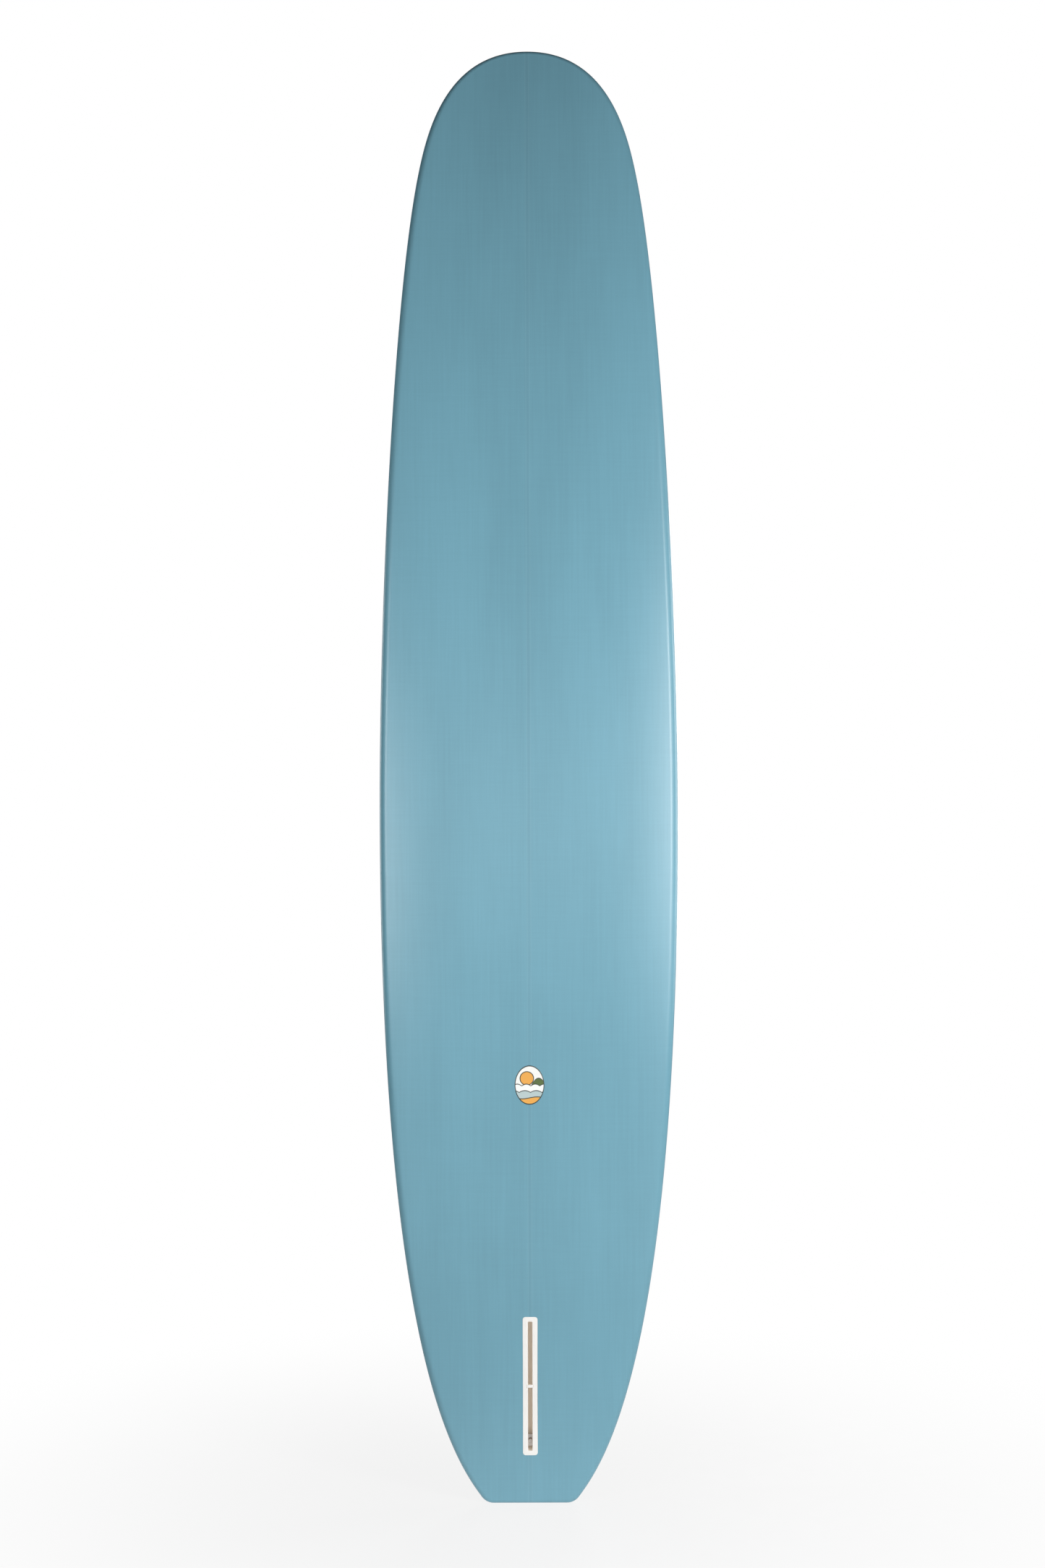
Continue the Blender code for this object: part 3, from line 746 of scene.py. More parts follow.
def new_finish(name, colour, roughness, relief=None, height=0.2 * MM, glow=None, metallic=0.0):
    """A material from functions that wire its colour, roughness, relief and painted glow."""
    material = bpy.data.materials.new(name)
    material.use_nodes = True
    wiring = Wiring(material.node_tree)
    shader = material.node_tree.nodes["Principled BSDF"]
    wiring.feed(shader.inputs["Base Color"], colour(wiring))
    wiring.feed(shader.inputs["Roughness"], roughness(wiring))
    if relief:
        bump = wiring.node(
            "ShaderNodeBump", sockets={"Strength": 1.0, "Distance": height, "Height": relief(wiring)}
        )
        wiring.feed(shader.inputs["Normal"], bump)
    # Painted light: with a glow the surface shines though it is no lamp.
    if glow:
        wiring.feed(shader.inputs["Emission Color"], glow(wiring))
        shader.inputs["Emission Strength"].default_value = SLOT_PAINTED_GLOW
    shader.inputs["Metallic"].default_value = metallic
    return material


def finish(make):
    """The material that a function makes, made once and named after it."""
    return bpy.data.materials.get(make.__name__) or make(make.__name__)


def chosen(key):
    """A colour from the panel."""
    return tuple(getattr(bpy.context.scene.surfboard_finishes, key))


def shade(colour, factor):
    return tuple(c * factor for c in colour)


def weave(wiring, pitch=1.1 * MM):
    """Plain cloth: threads that pass over and under each other along X and Z."""
    x, _, z = wiring.parts(wiring.place())
    turns = 2 * math.pi / pitch
    return 0.5 + 0.5 * wiring.math("SINE", x * turns) * wiring.math("SINE", z * turns)


def two_tones(scale, dark, light, detail=3.0):
    """A colour that wanders between two tones."""
    return lambda wiring: wiring.mix(wiring.noise(scale, detail), dark, light)


def wandering(scale, low, high, detail=3.0):
    """A value that wanders between two others."""
    return lambda wiring: low + (high - low) * wiring.noise(scale, detail)


def grained(scale):
    """A fine relief of noise."""
    return lambda wiring: wiring.noise(scale, 2.0)


def tinted_resin(name):
    """Tinted resin over plain cloth: soft clouds, long fine streaks, a hint of the stringer and painted shade down
    the middle towards the nose.
    """
    tint = chosen("tint")

    def colour(wiring):
        x, _, z = wiring.parts(wiring.place())
        clouds = wiring.step(wiring.noise((7, 5, 1.6), 4.0, 0.55), 0.3, 0.7)
        streaks = wiring.step(wiring.noise((170, 20, 1.6), 2.0), 0.25, 0.75)
        warp = wiring.step(wiring.noise((330, 20, 9), 1.0), 0.2, 0.8)
        weft = wiring.step(wiring.noise((12, 20, 300), 1.0), 0.2, 0.8)
        tone = wiring.mix(clouds, shade(tint, 0.96), shade(tint, 1.04))
        # Painted shade: the middle of the bottom grows darker towards the nose.
        painted_middle_shade = wiring.band(x, 0.01, 0.13) * wiring.step(z, 0.9, 2.2)
        tone = wiring.mix(0.085 * painted_middle_shade, tone, shade(tint, 0.3))
        tone = wiring.mix(0.07 * streaks, tone, shade(tint, 1.4))
        tone = wiring.mix(0.09 * warp, tone, shade(tint, 0.6))
        tone = wiring.mix(0.05 * weft, tone, shade(tint, 0.6))
        timber = wiring.band(x, 2.2 * MM, 1.2 * MM)
        glue = wiring.band(abs(x) - 3.4 * MM, 0.5 * MM, 0.9 * MM)
        tone = wiring.mix(0.055 * timber, tone, shade(tint, 0.35))
        return wiring.mix(0.03 * glue, tone, PALE_GLUE)

    def relief(wiring):
        return 0.5 * weave(wiring) + 0.5 * wiring.noise((420, 20, 60), 2.0)

    return new_finish(name, colour, wandering((14, 8, 3), 0.285, 0.335, 4.0), relief, 0.012 * MM)


def clear_resin(name):
    """Clear cloth over white foam, with the timber stringer showing through it."""
    foam, wood = chosen("foam"), chosen("timber")

    def colour(wiring):
        x, _, _ = wiring.parts(wiring.place())
        clouds = wiring.noise((6, 5, 1.5), 4.0)
        tone = wiring.mix(clouds, shade(foam, 0.94), shade(foam, 1.03))
        cells = wiring.step(wiring.noise((500, 500, 500), 2.0), 0.35, 0.65)
        tone = wiring.mix(0.06 * cells, tone, shade(foam, 0.6))
        grain = wiring.noise((2600, 400, 9), 4.0, 0.6)
        timber = wiring.mix(grain, shade(wood, 0.72), shade(wood, 1.2))
        tone = wiring.mix(wiring.band(x, 2.3 * MM, 0.2 * MM), tone, timber)
        glue = wiring.band(abs(x) - 2.7 * MM, 0.25 * MM, 0.3 * MM)
        tone = wiring.mix(0.5 * glue, tone, shade(wood, 0.5))
        return wiring.mix(0.07 * weave(wiring), tone, (0.6, 0.63, 0.6))

    def relief(wiring):
        return 0.6 * weave(wiring) + 0.4 * wiring.noise((600, 600, 120), 2.0)

    return new_finish(name, colour, wandering((50, 50, 6), 0.3, 0.42), relief, 0.03 * MM)


def pinline_paint(name):
    paint = chosen("pinline")
    colour = two_tones((40, 40, 12), shade(paint, 0.8), shade(paint, 1.4))
    return new_finish(name, colour, wandering((80, 80, 20), 0.28, 0.4))


def white_plastic(name):
    """Moulded white plastic, sanded with the board; inside the slot it has a painted warm shade and a painted
    glow.
    """
    box = chosen("plastic")
    inside = chosen("slot")
    where = fin_box_seat(bpy.context.scene.surfboard_fittings)
    origin, outward = where.translation, where.col[2].xyz

    def inner(wiring):
        """1 inside the slot, and 0 on the flange's face: where the painted shade and the painted glow go."""
        x, y, z = wiring.parts(wiring.place())
        depth = outward.dot(origin) - (x * outward.x + y * outward.y + z * outward.z)
        return wiring.step(depth, 0.6 * MM, 2.2 * MM)

    def colour(wiring):
        tone = wiring.mix(wiring.noise((30, 30, 12), 3.0), shade(box, 0.95), shade(box, 1.02))
        specks = wiring.step(wiring.noise((900, 900, 900), 2.0), 0.62, 0.75)
        tone = wiring.mix(0.12 * specks, tone, shade(box, 0.7))
        # Painted shade: the warm tan of the slot's shaded inside, laid on as colour.
        painted_slot_shade = wiring.mix(wiring.noise((220, 220, 40), 4.0), shade(inside, 0.82), shade(inside, 1.1))
        return wiring.mix(inner(wiring), tone, painted_slot_shade)

    def glow(wiring):
        """Painted light: a faint glow of the slot's tone, kept to the slot's inside."""
        return wiring.mix(inner(wiring), (0, 0, 0), inside)

    return new_finish(
        name, colour, wandering((300, 300, 30), 0.3, 0.5), grained((1500, 1500, 160)), 0.02 * MM, glow
    )


def moulded_plastic(name):
    tone = chosen("plastic")
    colour = two_tones((90, 90, 90), shade(tone, 0.92), tone)
    roughness = wandering((400, 400, 400), 0.32, 0.5)
    return new_finish(name, colour, roughness, grained((1800, 1800, 1800)), 0.02 * MM)


def stainless_steel(name):
    colour = two_tones((200, 200, 200), (0.52, 0.47, 0.43), (0.70, 0.64, 0.60))
    roughness = wandering((2500, 2500, 300), 0.29, 0.42)
    return new_finish(name, colour, roughness, grained((3000, 3000, 300)), 0.01 * MM, metallic=1.0)


def filler_resin(name):
    tint = chosen("tint")
    colour = two_tones((120, 120, 60), shade(tint, 0.8), shade(tint, 1.15))
    return new_finish(name, colour, wandering((200, 200, 200), 0.29, 0.36))


def clear_filler(name):
    colour = two_tones((150, 150, 150), (0.62, 0.62, 0.55), (0.78, 0.78, 0.72))
    return new_finish(name, colour, wandering((200, 200, 200), 0.29, 0.36))


def foam_cells(name):
    foam = chosen("foam")

    def cells(wiring):
        return wiring.node(
            "ShaderNodeTexVoronoi", sockets={"Vector": wiring.place((700, 700, 700)), "Scale": 1.0}
        )

    def colour(wiring):
        return wiring.mix(cells(wiring), shade(foam, 0.85), shade(foam, 1.04))

    return new_finish(name, colour, wandering((90, 90, 90), 0.8, 0.95), cells, 0.2 * MM)


def basswood(name):
    wood = chosen("timber")

    def colour(wiring):
        grain = wiring.noise((60, 500, 6), 4.0, 0.6)
        pores = wiring.step(wiring.noise((900, 1800, 40), 2.0), 0.55, 0.7)
        tone = wiring.mix(grain, shade(wood, 0.75), shade(wood, 1.2))
        return wiring.mix(0.3 * pores, tone, shade(wood, 0.5))

    return new_finish(
        name,
        colour,
        wandering((80, 80, 8), 0.55, 0.8),
        grained((900, 1800, 30)),
        0.05 * MM,
    )


def patch_cloth(name):
    def colour(wiring):
        return wiring.mix(weave(wiring, 1.4 * MM), (0.7, 0.73, 0.7), (0.84, 0.86, 0.83))

    return new_finish(
        name, colour, wandering((60, 60, 60), 0.5, 0.7), lambda wiring: weave(wiring, 1.4 * MM), 0.1 * MM
    )


def badge_ink(name):
    """A round sun over a green headland and two white waves, in an oval."""
    sizes = bpy.context.scene.surfboard_badge
    ink = tuple(sizes.ink)

    def colour(wiring):
        x, _, z = wiring.parts(wiring.place())
        u = x / (sizes.width / 2)
        v = (z - sizes.height_up) / (sizes.height / 2)
        tone = wiring.mix(wiring.noise((160, 160, 160), 2.0), (0.80, 0.80, 0.76), (0.9, 0.9, 0.87))

        def laid(tone, mask, fill, line=0.045):
            """A patch of colour with an inked line round it; the mask grows inwards from zero."""
            tone = wiring.mix(wiring.step(mask, -line, -line / 2), tone, ink)
            return wiring.mix(wiring.step(mask, 0, line / 2), tone, tuple(fill))

        reach = wiring.math("SQRT", (u + 0.18) ** 2 * 0.56 + (v - 0.34) ** 2)
        tone = laid(tone, 0.33 - reach, sizes.sun)
        headland = 0.34 - 1.5 * (u - 0.62) ** 2 - v
        tone = laid(tone, headland, sizes.leaf)
        for level, water, length in ((-0.05, sizes.crest, 5.2), (-0.38, sizes.sea, 4.1)):
            swell = level + 0.09 * abs(wiring.math("SINE", u * length + level * 9)) - v
            tone = laid(tone, swell, water)
        tone = laid(tone, -0.66 + 0.05 * wiring.math("SINE", u * 3) - v, sizes.sun)
        rim = wiring.math("SQRT", u**2 + v**2)
        return wiring.mix(wiring.step(rim, 0.935, 0.955), tone, ink)

    return new_finish(name, colour, wandering((300, 300, 300), 0.3, 0.42))


def pale_floor(name):
    """A pale floor. The camera sees it fade into the room's white away from the board; near the board it glows
    with painted light that lights the board.
    """
    material = bpy.data.materials.new(name)
    material.use_nodes = True
    wiring = Wiring(material.node_tree)
    shader = material.node_tree.nodes["Principled BSDF"]
    x, y, _ = wiring.parts(wiring.place())
    tone = wiring.mix(wiring.noise((3, 3, 3), 3.0), (0.48, 0.48, 0.475), (0.52, 0.52, 0.515))
    wiring.feed(shader.inputs["Base Color"], tone)
    wiring.feed(shader.inputs["Roughness"], wandering((20, 20, 20), 0.55, 0.7)(wiring))
    white = wiring.node("ShaderNodeEmission", sockets={"Color": (1, 1, 1), "Strength": 1.0})
    away = wiring.math("SQRT", x**2 + y**2)
    seen = wiring.node("ShaderNodeLightPath")["Is Camera Ray"]
    # Painted light: near the board the floor glows and lights the board's tail, in place of bounce light.
    painted_bounce_glow = 0.65 * (1 - wiring.step(away, 0.1, 0.7))
    share = painted_bounce_glow + seen * (0.84 + 0.16 * wiring.step(away, 0.1, 1.6) - painted_bounce_glow)
    fade = wiring.node("ShaderNodeMixShader", sockets={0: share, 2: white})
    material.node_tree.links.new(shader.outputs[0], fade.socket.node.inputs[1])
    wiring.feed(material.node_tree.nodes["Material Output"].inputs["Surface"], fade)
    return material


# Settings.


def in_metres(name, description, default):
    return FloatProperty(name=name, description=description, default=default, unit="LENGTH")


def in_colour(name, description, default):
    return FloatVectorProperty(name=name, description=description, default=default, subtype="COLOR")


def in_watts(name, description, default):
    return FloatProperty(name=name, description=description, default=default, unit="POWER")


class BoardSizes(bpy.types.PropertyGroup):
    """The board's overall sizes and layers."""

    length: in_metres("Length", "From the tail to the nose", CAD_HIGH[2])
    width: in_metres("Width", "Across the wide point", 2 * CAD_HIGH[0])
    thickness: in_metres("Thickness", "At the flat point", 0.073)
    tail_thickness: in_metres("Tail thickness", "At the tail's end", 0.023)
    nose_thickness: in_metres("Nose thickness", "At the nose", 0.024)
    tail_rocker: in_metres("Tail rocker", "Lift of the tail", 0.085)
    nose_rocker: in_metres("Nose rocker", "Lift of the nose", 0.115)
    flat_point: in_metres("Flat point", "Height of the lowest rocker", 1.30)
    laminate: in_metres("Laminate", "Thickness of the cloth and resin", 0.0008)
    lap: in_metres("Lap", "Width of the tinted lap on the deck", 0.050)
    gap: in_metres("Gap", "Room between bonded layers", 0.0003)
    pinline_width: in_metres("Pinline width", "Width of the painted line", 0.005)
    pinline_height: in_metres("Pinline height", "Build-up of the painted line", 0.00022)


class FittingSizes(bpy.types.PropertyGroup):
    """The fin box, its fasteners and the leash plug."""

    flange_half_width: in_metres("Flange half width", "Of the fin box", 0.0145)
    flange_half_length: in_metres("Flange half length", "Of the fin box", 0.139)
    flange_thickness: in_metres("Flange thickness", "Of the fin box", 0.003)
    flange_corner: in_metres("Flange corner", "Radius of the flange's corners", 0.0055)
    slot_half_width: in_metres("Slot half width", "Of the fin slot", 0.0043)
    slot_half_length: in_metres("Slot half length", "Of the fin slot", 0.12975)
    box_depth: in_metres("Box depth", "From the flange's face to the floor", 0.024)
    box_wall: in_metres("Box wall", "Thickness of the trough", 0.002)
    track_half_width: in_metres("Track half width", "Of the side tracks", 0.00675)
    track_depth: in_metres("Track depth", "Under the flange's face", 0.009)
    track_height: in_metres("Track height", "Of the side tracks", 0.005)
    track_end: in_metres("Track end", "Left at each end of the slot", 0.006)
    notch_half_length: in_metres("Notch half length", "Where the nut plate goes in", 0.0031)
    plug_thickness: in_metres("Plug thickness", "Of the bar across the slot", 0.004)
    plate_half_length: in_metres("Nut plate half length", "Along the track", 0.012)
    screw_radius: in_metres("Screw radius", "Of the shank", 0.002)
    head_radius: in_metres("Head radius", "Of the screw's head", 0.0038)
    thread_turns: IntProperty(name="Thread turns", description="On the screw", default=13)
    cup_radius: in_metres("Cup radius", "Of the leash cup", 0.0125)
    cup_depth: in_metres("Cup depth", "Of the leash cup", 0.016)
    cup_flange_radius: in_metres("Cup flange radius", "Of its rim", 0.0155)
    pin_radius: in_metres("Pin radius", "Of the bar in the cup", 0.0016)
    pin_depth: in_metres("Pin depth", "Under the cup's face", 0.0065)


class BadgeSizes(bpy.types.PropertyGroup):
    """The printed badge on the bottom."""

    width: in_metres("Width", "Of the oval", 0.057)
    height: in_metres("Height", "Of the oval", 0.076)
    height_up: in_metres("Height up the board", "Of its middle", 0.8265)
    ink: in_colour("Ink", "Outlines and rim", (0.035, 0.045, 0.035))
    sun: in_colour("Sun", "Sun and sand", (0.78, 0.38, 0.08))
    leaf: in_colour("Headland", "Green hill", (0.10, 0.15, 0.05))
    crest: in_colour("Crest", "First wave", (0.85, 0.86, 0.84))
    sea: in_colour("Sea", "Second wave", (0.45, 0.55, 0.55))


class Finishes(bpy.types.PropertyGroup):
    """Colours of the board's materials."""

    tint: in_colour("Tint", "Of the bottom's resin", (0.157, 0.35, 0.438))
    foam: in_colour("Foam", "Of the blank", (0.80, 0.79, 0.74))
    timber: in_colour("Timber", "Of the stringer", (0.55, 0.37, 0.20))
    pinline: in_colour("Pinline", "Painted line", (0.03, 0.07, 0.10))
    plastic: in_colour("Plastic", "Fin box and cup", (0.86, 0.84, 0.81))
    # The slot colour is painted shade: the warm tan of the slot's shaded inside.
    slot: in_colour("Slot", "Inside the fin box", (0.88, 0.80, 0.70))


class StageSettings(bpy.types.PropertyGroup):
    """Camera, lights and floor."""

    lens: FloatProperty(name="Lens", description="Focal length", default=52.83, unit="CAMERA")
    distance: in_metres("Distance", "From the camera to the board", 4.5)
    eye_height: in_metres("Eye height", "Of the camera", 1.4041)
    aside: in_metres("Aside", "Camera's place across the board", -0.0119)
    roll: FloatProperty(
        name="Roll", description="Turn about the view axis", default=math.radians(-0.15), unit="ROTATION"
    )
    ambient: FloatProperty(name="Ambient", description="Strength of the room's light", default=0.03)
    key: in_watts("Key light", "Power of the right soft box", 52)
    fill: in_watts("Fill light", "Power of the left soft box", 26)
    front: in_watts("Front light", "Power of the box behind the camera", 10)
    back: in_watts("Back light", "Power of the soft box behind", 26)


# Operators.


def layer(name, board, rows, material, closed=False):
    tree = tree_named("Board layer", layer_tree)
    values = {label_of(key): getattr(board, key) for key in SHAPE_INPUTS}
    values["Material"] = material
    return through(lattice(name, board, rows, closed), tree, values)


class SURFBOARD_OT_bottom(bpy.types.Operator):
    """Make the tinted skin that covers the bottom, wraps the rails and laps onto the deck"""

    bl_idname = "surfboard.bottom"
    bl_label = "Bottom skin"

    def execute(self, context):
        board = context.scene.surfboard_board
        fittings = context.scene.surfboard_fittings
        inside = board.laminate
        rows = face_rows(-1, 0, FACE_STEPS) + rail_rows(0, RAIL_STEPS)
        rows += lap_rows(board.lap, 0, LAP_STEPS)
        rows += lap_rows(board.lap, inside, 1)[::-1] + rail_rows(inside, RAIL_STEPS // 2)[::-1]
        rows += face_rows(-1, inside, FACE_STEPS // 2)[::-1]
        skin = layer("bottom_skin", board, rows, finish(tinted_resin))
        pocket = plate(
            fittings.flange_half_width + board.gap,
            fittings.flange_half_length + board.gap,
            fittings.flange_corner + board.gap,
            12 * MM,
            -fittings.flange_thickness - board.gap,
        )
        cutter = from_bmesh("fin_box_pocket", pocket, fin_box_seat(fittings), skin.data.materials[0])
        skin = cut(skin, cutter)
        settle(skin, "board", "tint", "bottom_laminate")
        return {"FINISHED"}


class SURFBOARD_OT_deck(bpy.types.Operator):
    """Make the clear skin inside the lap, and the pinline over the seam between them"""

    bl_idname = "surfboard.deck"
    bl_label = "Deck skin and pinline"

    def execute(self, context):
        board = context.scene.surfboard_board
        fittings = context.scene.surfboard_fittings
        seam = board.lap + board.gap
        rows = inner_rows(seam, 0, FACE_STEPS) + inner_rows(seam, board.laminate, FACE_STEPS // 2)[::-1]
        skin = layer("deck_skin", board, rows, finish(clear_resin))
        over, under = 10 * MM, -4 * MM
        hole = [(0, over), (fittings.cup_flange_radius + board.gap, over)]
        hole += [(radius, under) for radius, _ in hole[::-1]]
        cutter = from_bmesh("leash_hole", turned(hole), leash_seat(fittings), skin.data.materials[0])
        skin = cut(skin, cutter)
        settle(skin, "board", "cloth", "deck_laminate")

        middle_line = board.lap + board.gap / 2
        half = board.pinline_width / 2
        rows = []
        for i in range(PINLINE_STEPS + 1):
            across = math.cos(math.pi * i / PINLINE_STEPS)
            rise = board.pinline_height * math.sqrt(max(0, 1 - across**PINLINE_FLATNESS))
            rows.append(row(line=middle_line - half * across, reach=1, depth=-PINLINE_LIFT - rise))
        line = layer("pinline_paint", board, rows, finish(pinline_paint), closed=True)
        settle(line, "board", "pinline", "pinline")
        return {"FINISHED"}


class SURFBOARD_OT_badge(bpy.types.Operator):
    """Make the printed oval on the bottom"""

    bl_idname = "surfboard.badge"
    bl_label = "Badge"

    def execute(self, context):
        board = context.scene.surfboard_board
        sizes = context.scene.surfboard_badge
        shares = [k / BADGE_STEPS for k in range(BADGE_STEPS + 1)]
        top = [(0.26 * MM, 0.985 * share) for share in shares]
        under = [(0.04 * MM, share) for share in shares[::-1]]
        heights = {}
        bm = bmesh.new()
        loops = []
        for rise, part in top + under:
            loop = []
            for i in range(ROUND_STEPS):
                turn = 2 * math.pi * i / ROUND_STEPS
                x = part * sizes.width / 2 * math.cos(turn)
                z = sizes.height_up + part * sizes.height / 2 * math.sin(turn)
                spot = (round(abs(x), 6), round(z, 6))
                if spot not in heights:
                    heights[spot] = bottom_height(board, x, z)
                loop.append(bm.verts.new((x, heights[spot] - rise, z)))
            loops.append(loop)
        for a, b in zip(loops, loops[1:]):
            for i in range(ROUND_STEPS):
                j = (i + 1) % ROUND_STEPS
                bm.faces.new((a[i], a[j], b[j], b[i]))
        badge = from_bmesh("badge_print", bm, Matrix.Identity(4), finish(badge_ink))
        settle(badge, "board", "badge", "badge")
        return {"FINISHED"}


class SURFBOARD_OT_fin_box(bpy.types.Operator):
    """Make the fin box with its slot and tracks, the bar across it and the bead of resin round it"""

    bl_idname = "surfboard.fin_box"
    bl_label = "Fin box"

    def execute(self, context):
        board = context.scene.surfboard_board
        f = context.scene.surfboard_fittings
        where = fin_box_seat(f)
        material = finish(white_plastic)
        slot = (f.slot_half_width, f.slot_half_length, f.box_wall)
        floor = f.box_wall - f.box_depth
        flange = (f.flange_half_width, f.flange_half_length, f.flange_corner)
        trough = (f.track_half_width + f.box_wall, f.slot_half_length + f.box_wall, f.box_wall)
        profile = [
            (slot[0] / 2, slot[1] / 2, slot[2] / 2, floor),
            (*slot, floor),
            (*slot, 0),
            (*flange, 0),
            (*flange, -f.flange_thickness),
            (*trough, -f.flange_thickness),
            (*trough, -f.box_depth),
            (trough[0] / 2, trough[1] / 2, trough[2] / 2, -f.box_depth),
        ]
        radii = (0.6 * MM, 0.45 * MM, 1.0 * MM, 0.4 * MM, 0, 1.2 * MM)
        box = from_bmesh("fin_box_moulding", loft_rectangles(softened(profile, radii)), where, material)
        track_middle = -f.track_depth - f.track_height / 2
        track_low = -f.track_depth - f.track_height
        shapes = {
            "track": ((f.track_half_width, f.slot_half_length - f.track_end), -f.track_depth, track_low),
            "notch": ((f.track_half_width, f.notch_half_length), 2 * MM, track_middle),
        }
        cutters = []
        for name, (halves, top, bottom) in shapes.items():
            bm = plate(*halves, 0.3 * MM, top, bottom)
            cutters.append(from_bmesh(name, bm, where, material))
        settle(cut(box, *cutters), "board", "box", "fin_box")

        gap = board.gap
        bar = plate(
            f.track_half_width - gap, f.notch_half_length - gap, 0.4 * MM, 0, -f.plug_thickness, 0.35 * MM
        )
        settle(from_bmesh("slot_bar", bar, where, material), "board", "box", "slot_plug")

        up_share = where.col[1].z
        points = []
        for x, y in rounded_ring(
            f.flange_half_width + gap, f.flange_half_length + gap, f.flange_corner + gap
        ):
            points.append((x, where.translation.z + y * up_share))
        line = []
        for (x1, z1), (x2, z2) in zip(points, points[1:] + points[:1]):
            pieces = max(1, round(math.hypot(x2 - x1, z2 - z1) / BEAD_STEP))
            for i in range(pieces):
                x, z = x1 + (x2 - x1) * i / pieces, z1 + (z2 - z1) * i / pieces
                y = middle(board, z) - BOTTOM_SHARE * thickness(board, z)
                line.append((x, y + 0.35 * MM, z))
        resin = bead("flange_bead", line, True, 0.6 * MM, 8, finish(filler_resin))
        settle(resin, "board", "tint")
        return {"FINISHED"}


class SURFBOARD_OT_fin_fastener(bpy.types.Operator):
    """Make the nut plate in the track and the screw through it"""

    bl_idname = "surfboard.fin_fastener"
    bl_label = "Fin nut plate and screw"

    def execute(self, context):
        f = context.scene.surfboard_fittings
        gap = context.scene.surfboard_board.gap
        where = nut_seat()
        steel = finish(stainless_steel)
        half = f.track_height / 2 - gap
        nut = plate(f.track_half_width - gap, f.plate_half_length, 2 * MM, half, -half, 0.5 * MM)
        nut = from_bmesh("nut_plate_steel", nut, where, steel)
        bore, mouth, lip = f.screw_radius + gap, half + 0.1 * MM, 0.7 * MM
        hole = turned(
            [(0, mouth), (bore + lip, mouth), (bore, half - lip), (bore, -mouth), (0, -mouth)]
        )
        nut = cut(nut, from_bmesh("nut_hole", hole, where, steel))
        settle(nut, "nut_plate", "steel", "fin_nut_plate")

        face = f.track_depth + f.track_height / 2
        head_top, head_low, tip = face - 4.5 * MM, face - 7.1 * MM, face - 17.5 * MM
        edge = 0.8 * MM
        profile = softened(
            [
                (0, head_top),
                (f.head_radius, head_top),
                (f.head_radius, head_low),
                (f.screw_radius, head_low),
                (f.screw_radius, tip + edge),
                (f.screw_radius - edge, tip),
                (0, tip),
            ],
            (1.1 * MM, 0.3 * MM, 0, 0, 0),
            4,
        )
        screw = from_bmesh("screw_steel", turned(profile), where, steel)
        socket = bmesh.new()
        drive = 1.4 * MM
        bmesh.ops.create_cone(
            socket, cap_ends=True, segments=6, radius1=drive, radius2=drive, depth=2.6 * MM
        )
        bmesh.ops.translate(socket, vec=(0, 0, head_top), verts=socket.verts)
        screw = cut(screw, from_bmesh("hex_socket", socket, where, steel))
        settle(screw, "screw", "steel", "fin_screw")

        low, high = tip + 1.2 * MM, head_low - 1.0 * MM
        count = f.thread_turns * THREAD_STEPS
        ridge = []
        for i in range(count + 1):
            height = low + (high - low) * i / count
            turn = 2 * math.pi * i / THREAD_STEPS
            ridge.append(where @ on_circle(f.screw_radius - 0.05 * MM, turn, height))
        thread = bead("screw_thread", ridge, False, 0.22 * MM, 6, steel)
        settle(thread, "screw", "steel")
        return {"FINISHED"}


class SURFBOARD_OT_leash_plug(bpy.types.Operator):
    """Make the leash cup in the deck, its pin and the bead of resin round it"""

    bl_idname = "surfboard.leash_plug"
    bl_label = "Leash plug"

    def execute(self, context):
        f = context.scene.surfboard_fittings
        gap = context.scene.surfboard_board.gap
        where = leash_seat(f)
        plastic = finish(moulded_plastic)
        wall = 2 * MM
        inner = f.cup_radius - wall
        floor = wall - f.cup_depth
        under = -1.3 * MM
        profile = softened(
            [
                (0, floor),
                (inner, floor),
                (inner, 0),
                (f.cup_flange_radius, 0),
                (f.cup_flange_radius, under),
                (f.cup_radius, under),
                (f.cup_radius, -f.cup_depth),
                (0, -f.cup_depth),
            ],
            (1.5 * MM, 0.6 * MM, 0.7 * MM, 0, 0, 1.0 * MM),
            4,
        )
        cup = from_bmesh("leash_cup_moulding", turned(profile), where, plastic)
        across = Matrix.Translation((0, 0, -f.pin_depth)) @ Matrix.Rotation(math.pi / 2, 4, "Y")
        bore, reach = f.pin_radius + gap, 2 * f.cup_radius
        hole = turned([(0, reach), (bore, reach), (bore, -reach), (0, -reach)])
        cup = cut(cup, from_bmesh("pin_hole", hole, where @ across, plastic))
        settle(cup, "board", "cup", "leash_cup")

        half = f.cup_radius - gap
        ends = [(0, half), (f.pin_radius, half), (f.pin_radius, -half), (0, -half)]
        pin = turned(softened(ends, (0.4 * MM, 0.4 * MM)), PIN_STEPS)
        steel = finish(stainless_steel)
        settle(from_bmesh("leash_pin_steel", pin, where @ across, steel), "board", "steel", "leash_pin")

        ring = []
        for i in range(ROUND_STEPS):
            turn = 2 * math.pi * i / ROUND_STEPS
            ring.append(where @ on_circle(f.cup_flange_radius + gap, turn, -0.45 * MM))
        resin = bead("cup_bead", ring, True, 0.5 * MM, 8, finish(clear_filler))
        settle(resin, "board", "resin")
        return {"FINISHED"}


class SURFBOARD_OT_blank(bpy.types.Operator):
    """Finish the pieces under the skins: the foam, the stringer, the patch and the resin beds"""

    bl_idname = "surfboard.blank"
    bl_label = "Blank and beds"

    def execute(self, context):
        finishes = {
            "foam_blank_left": foam_cells,
            "foam_blank_right": foam_cells,
            "stringer": basswood,
            "deck_patch": patch_cloth,
            "fin_box_bed": clear_filler,
            "leash_bed": clear_filler,
        }
        for node, make in finishes.items():
            for held in frame["nodes"][node].material_slots:
                held.material = finish(make)
        return {"FINISHED"}


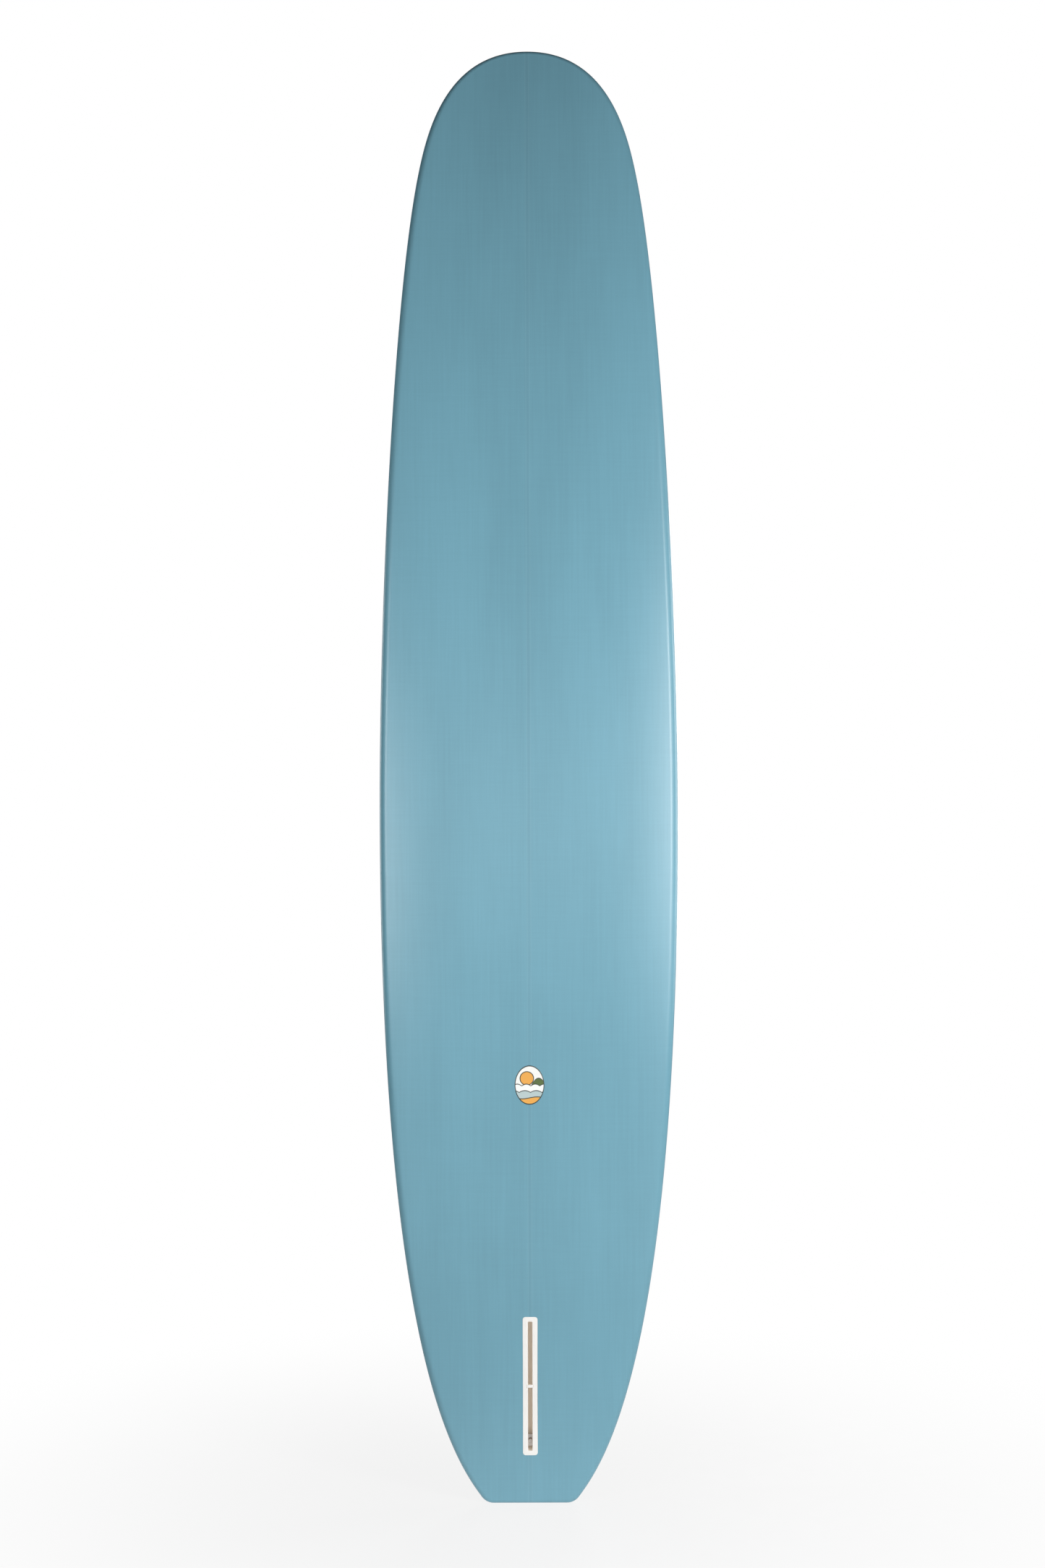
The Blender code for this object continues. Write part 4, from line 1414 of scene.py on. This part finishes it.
class SURFBOARD_OT_stage(bpy.types.Operator):
    """Make the camera, the lights, the white room and the pale floor"""

    bl_idname = "surfboard.stage"
    bl_label = "Studio"

    def execute(self, context):
        stage = context.scene.surfboard_stage
        camera = bpy.data.cameras.new("camera")
        camera.lens = stage.lens
        camera.sensor_width = 36
        camera.sensor_fit = "AUTO"
        seen = bpy.data.objects.new("camera", camera)
        seen.matrix_world = (
            Matrix.Translation((stage.aside, -stage.distance, stage.eye_height))
            @ Matrix.Rotation(math.pi / 2, 4, "X")
            @ Matrix.Rotation(stage.roll, 4, "Z")
        )
        context.scene.collection.objects.link(seen)
        context.scene.camera = seen

        key, fill, back = stage.key, stage.fill, stage.back
        soft_boxes = {
            "key": (key, (1.9, -2.3, 1.42), (0.7, 1.4)),
            "key_high": (0.25 * key, (1.9, -2.3, 2.0), (0.5, 1.0)),
            "key_front": (0.15 * key, (1.2, -3.2, 1.30), (0.8, 1.2)),
            "key_edge": (0.07 * key, (1.6, -3.0, 1.29), (0.3, 0.7)),
            "key_side": (0.18 * key, (2.5, -1.2, 1.4), (0.8, 1.6)),
            "fill": (fill, (-2.0, -2.2, 1.40), (0.7, 1.3)),
            "front": (stage.front, (0, -5.2, 1.30), (1.6, 0.8)),
            "fill_front": (0.25 * fill, (-1.2, -3.2, 1.13), (0.8, 1.2)),
            "fill_edge": (0.3 * fill, (-1.65, -3.0, 1.10), (0.22, 0.8)),
            "side_right": (back, (2.7, 0.9, 1.5), (1.0, 1.6)),
            "side_left": (0.6 * back, (-2.4, 1.6, 1.4), (1.0, 1.6)),
            "deck": (1.9 * back, (1.1, 3.4, 1.6), (1.2, 1.6)),
        }
        for name, (power, place, size) in soft_boxes.items():
            light = bpy.data.lights.new(name, "AREA")
            light.shape = "RECTANGLE"
            light.size, light.size_y = size
            light.energy = power
            lamp = bpy.data.objects.new(name, light)
            aim = Vector((0, 0, place[2])) - Vector(place)
            lamp.rotation_euler = aim.to_track_quat("-Z", "Y").to_euler()
            lamp.location = place
            context.scene.collection.objects.link(lamp)

        world = bpy.data.worlds.new("white_room")
        world.use_nodes = True
        context.scene.world = world
        wiring = Wiring(world.node_tree)
        seen_directly = wiring.node("ShaderNodeLightPath")["Is Camera Ray"]
        strength = stage.ambient + (1 - stage.ambient) * seen_directly
        wiring.feed(world.node_tree.nodes["Background"].inputs["Color"], (1, 1, 1))
        wiring.feed(world.node_tree.nodes["Background"].inputs["Strength"], strength)

        disc = bmesh.new()
        bmesh.ops.create_circle(disc, cap_ends=True, segments=FLOOR_STEPS, radius=FLOOR_RADIUS)
        mesh = bpy.data.meshes.new("floor")
        disc.to_mesh(mesh)
        disc.free()
        mesh.materials.append(finish(pale_floor))
        added("floor", mesh)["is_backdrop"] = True
        context.scene.view_settings.view_transform = "Standard"
        return {"FINISHED"}


class SURFBOARD_PT_panel(bpy.types.Panel):
    """The board's sizes and the operators that make it"""

    bl_label = "Surfboard"
    bl_idname = "SURFBOARD_PT_panel"
    bl_space_type = "VIEW_3D"
    bl_region_type = "UI"
    bl_category = "Surfboard"

    def draw(self, context):
        for name, group in SETTINGS.items():
            box = self.layout.box()
            box.label(text=group.__doc__)
            held = getattr(context.scene, name)
            for key in group.__annotations__:
                box.prop(held, key)
        for operator in OPERATORS:
            self.layout.operator(operator.bl_idname)


SETTINGS = {
    "surfboard_board": BoardSizes,
    "surfboard_fittings": FittingSizes,
    "surfboard_badge": BadgeSizes,
    "surfboard_finishes": Finishes,
    "surfboard_stage": StageSettings,
}
OPERATORS = (
    SURFBOARD_OT_stage,
    SURFBOARD_OT_bottom,
    SURFBOARD_OT_deck,
    SURFBOARD_OT_badge,
    SURFBOARD_OT_fin_box,
    SURFBOARD_OT_fin_fastener,
    SURFBOARD_OT_leash_plug,
    SURFBOARD_OT_blank,
)
CLASSES = (*SETTINGS.values(), *OPERATORS, SURFBOARD_PT_panel)


def register():
    for each in CLASSES:
        bpy.utils.register_class(each)
    for name, group in SETTINGS.items():
        setattr(bpy.types.Scene, name, PointerProperty(type=group))


def unregister():
    for name in SETTINGS:
        delattr(bpy.types.Scene, name)
    for each in reversed(CLASSES):
        bpy.utils.unregister_class(each)


def main():
    register()
    for operator in OPERATORS:
        group, name = operator.bl_idname.split(".")
        getattr(getattr(bpy.ops, group), name)()


if __name__ == "__main__":
    main()
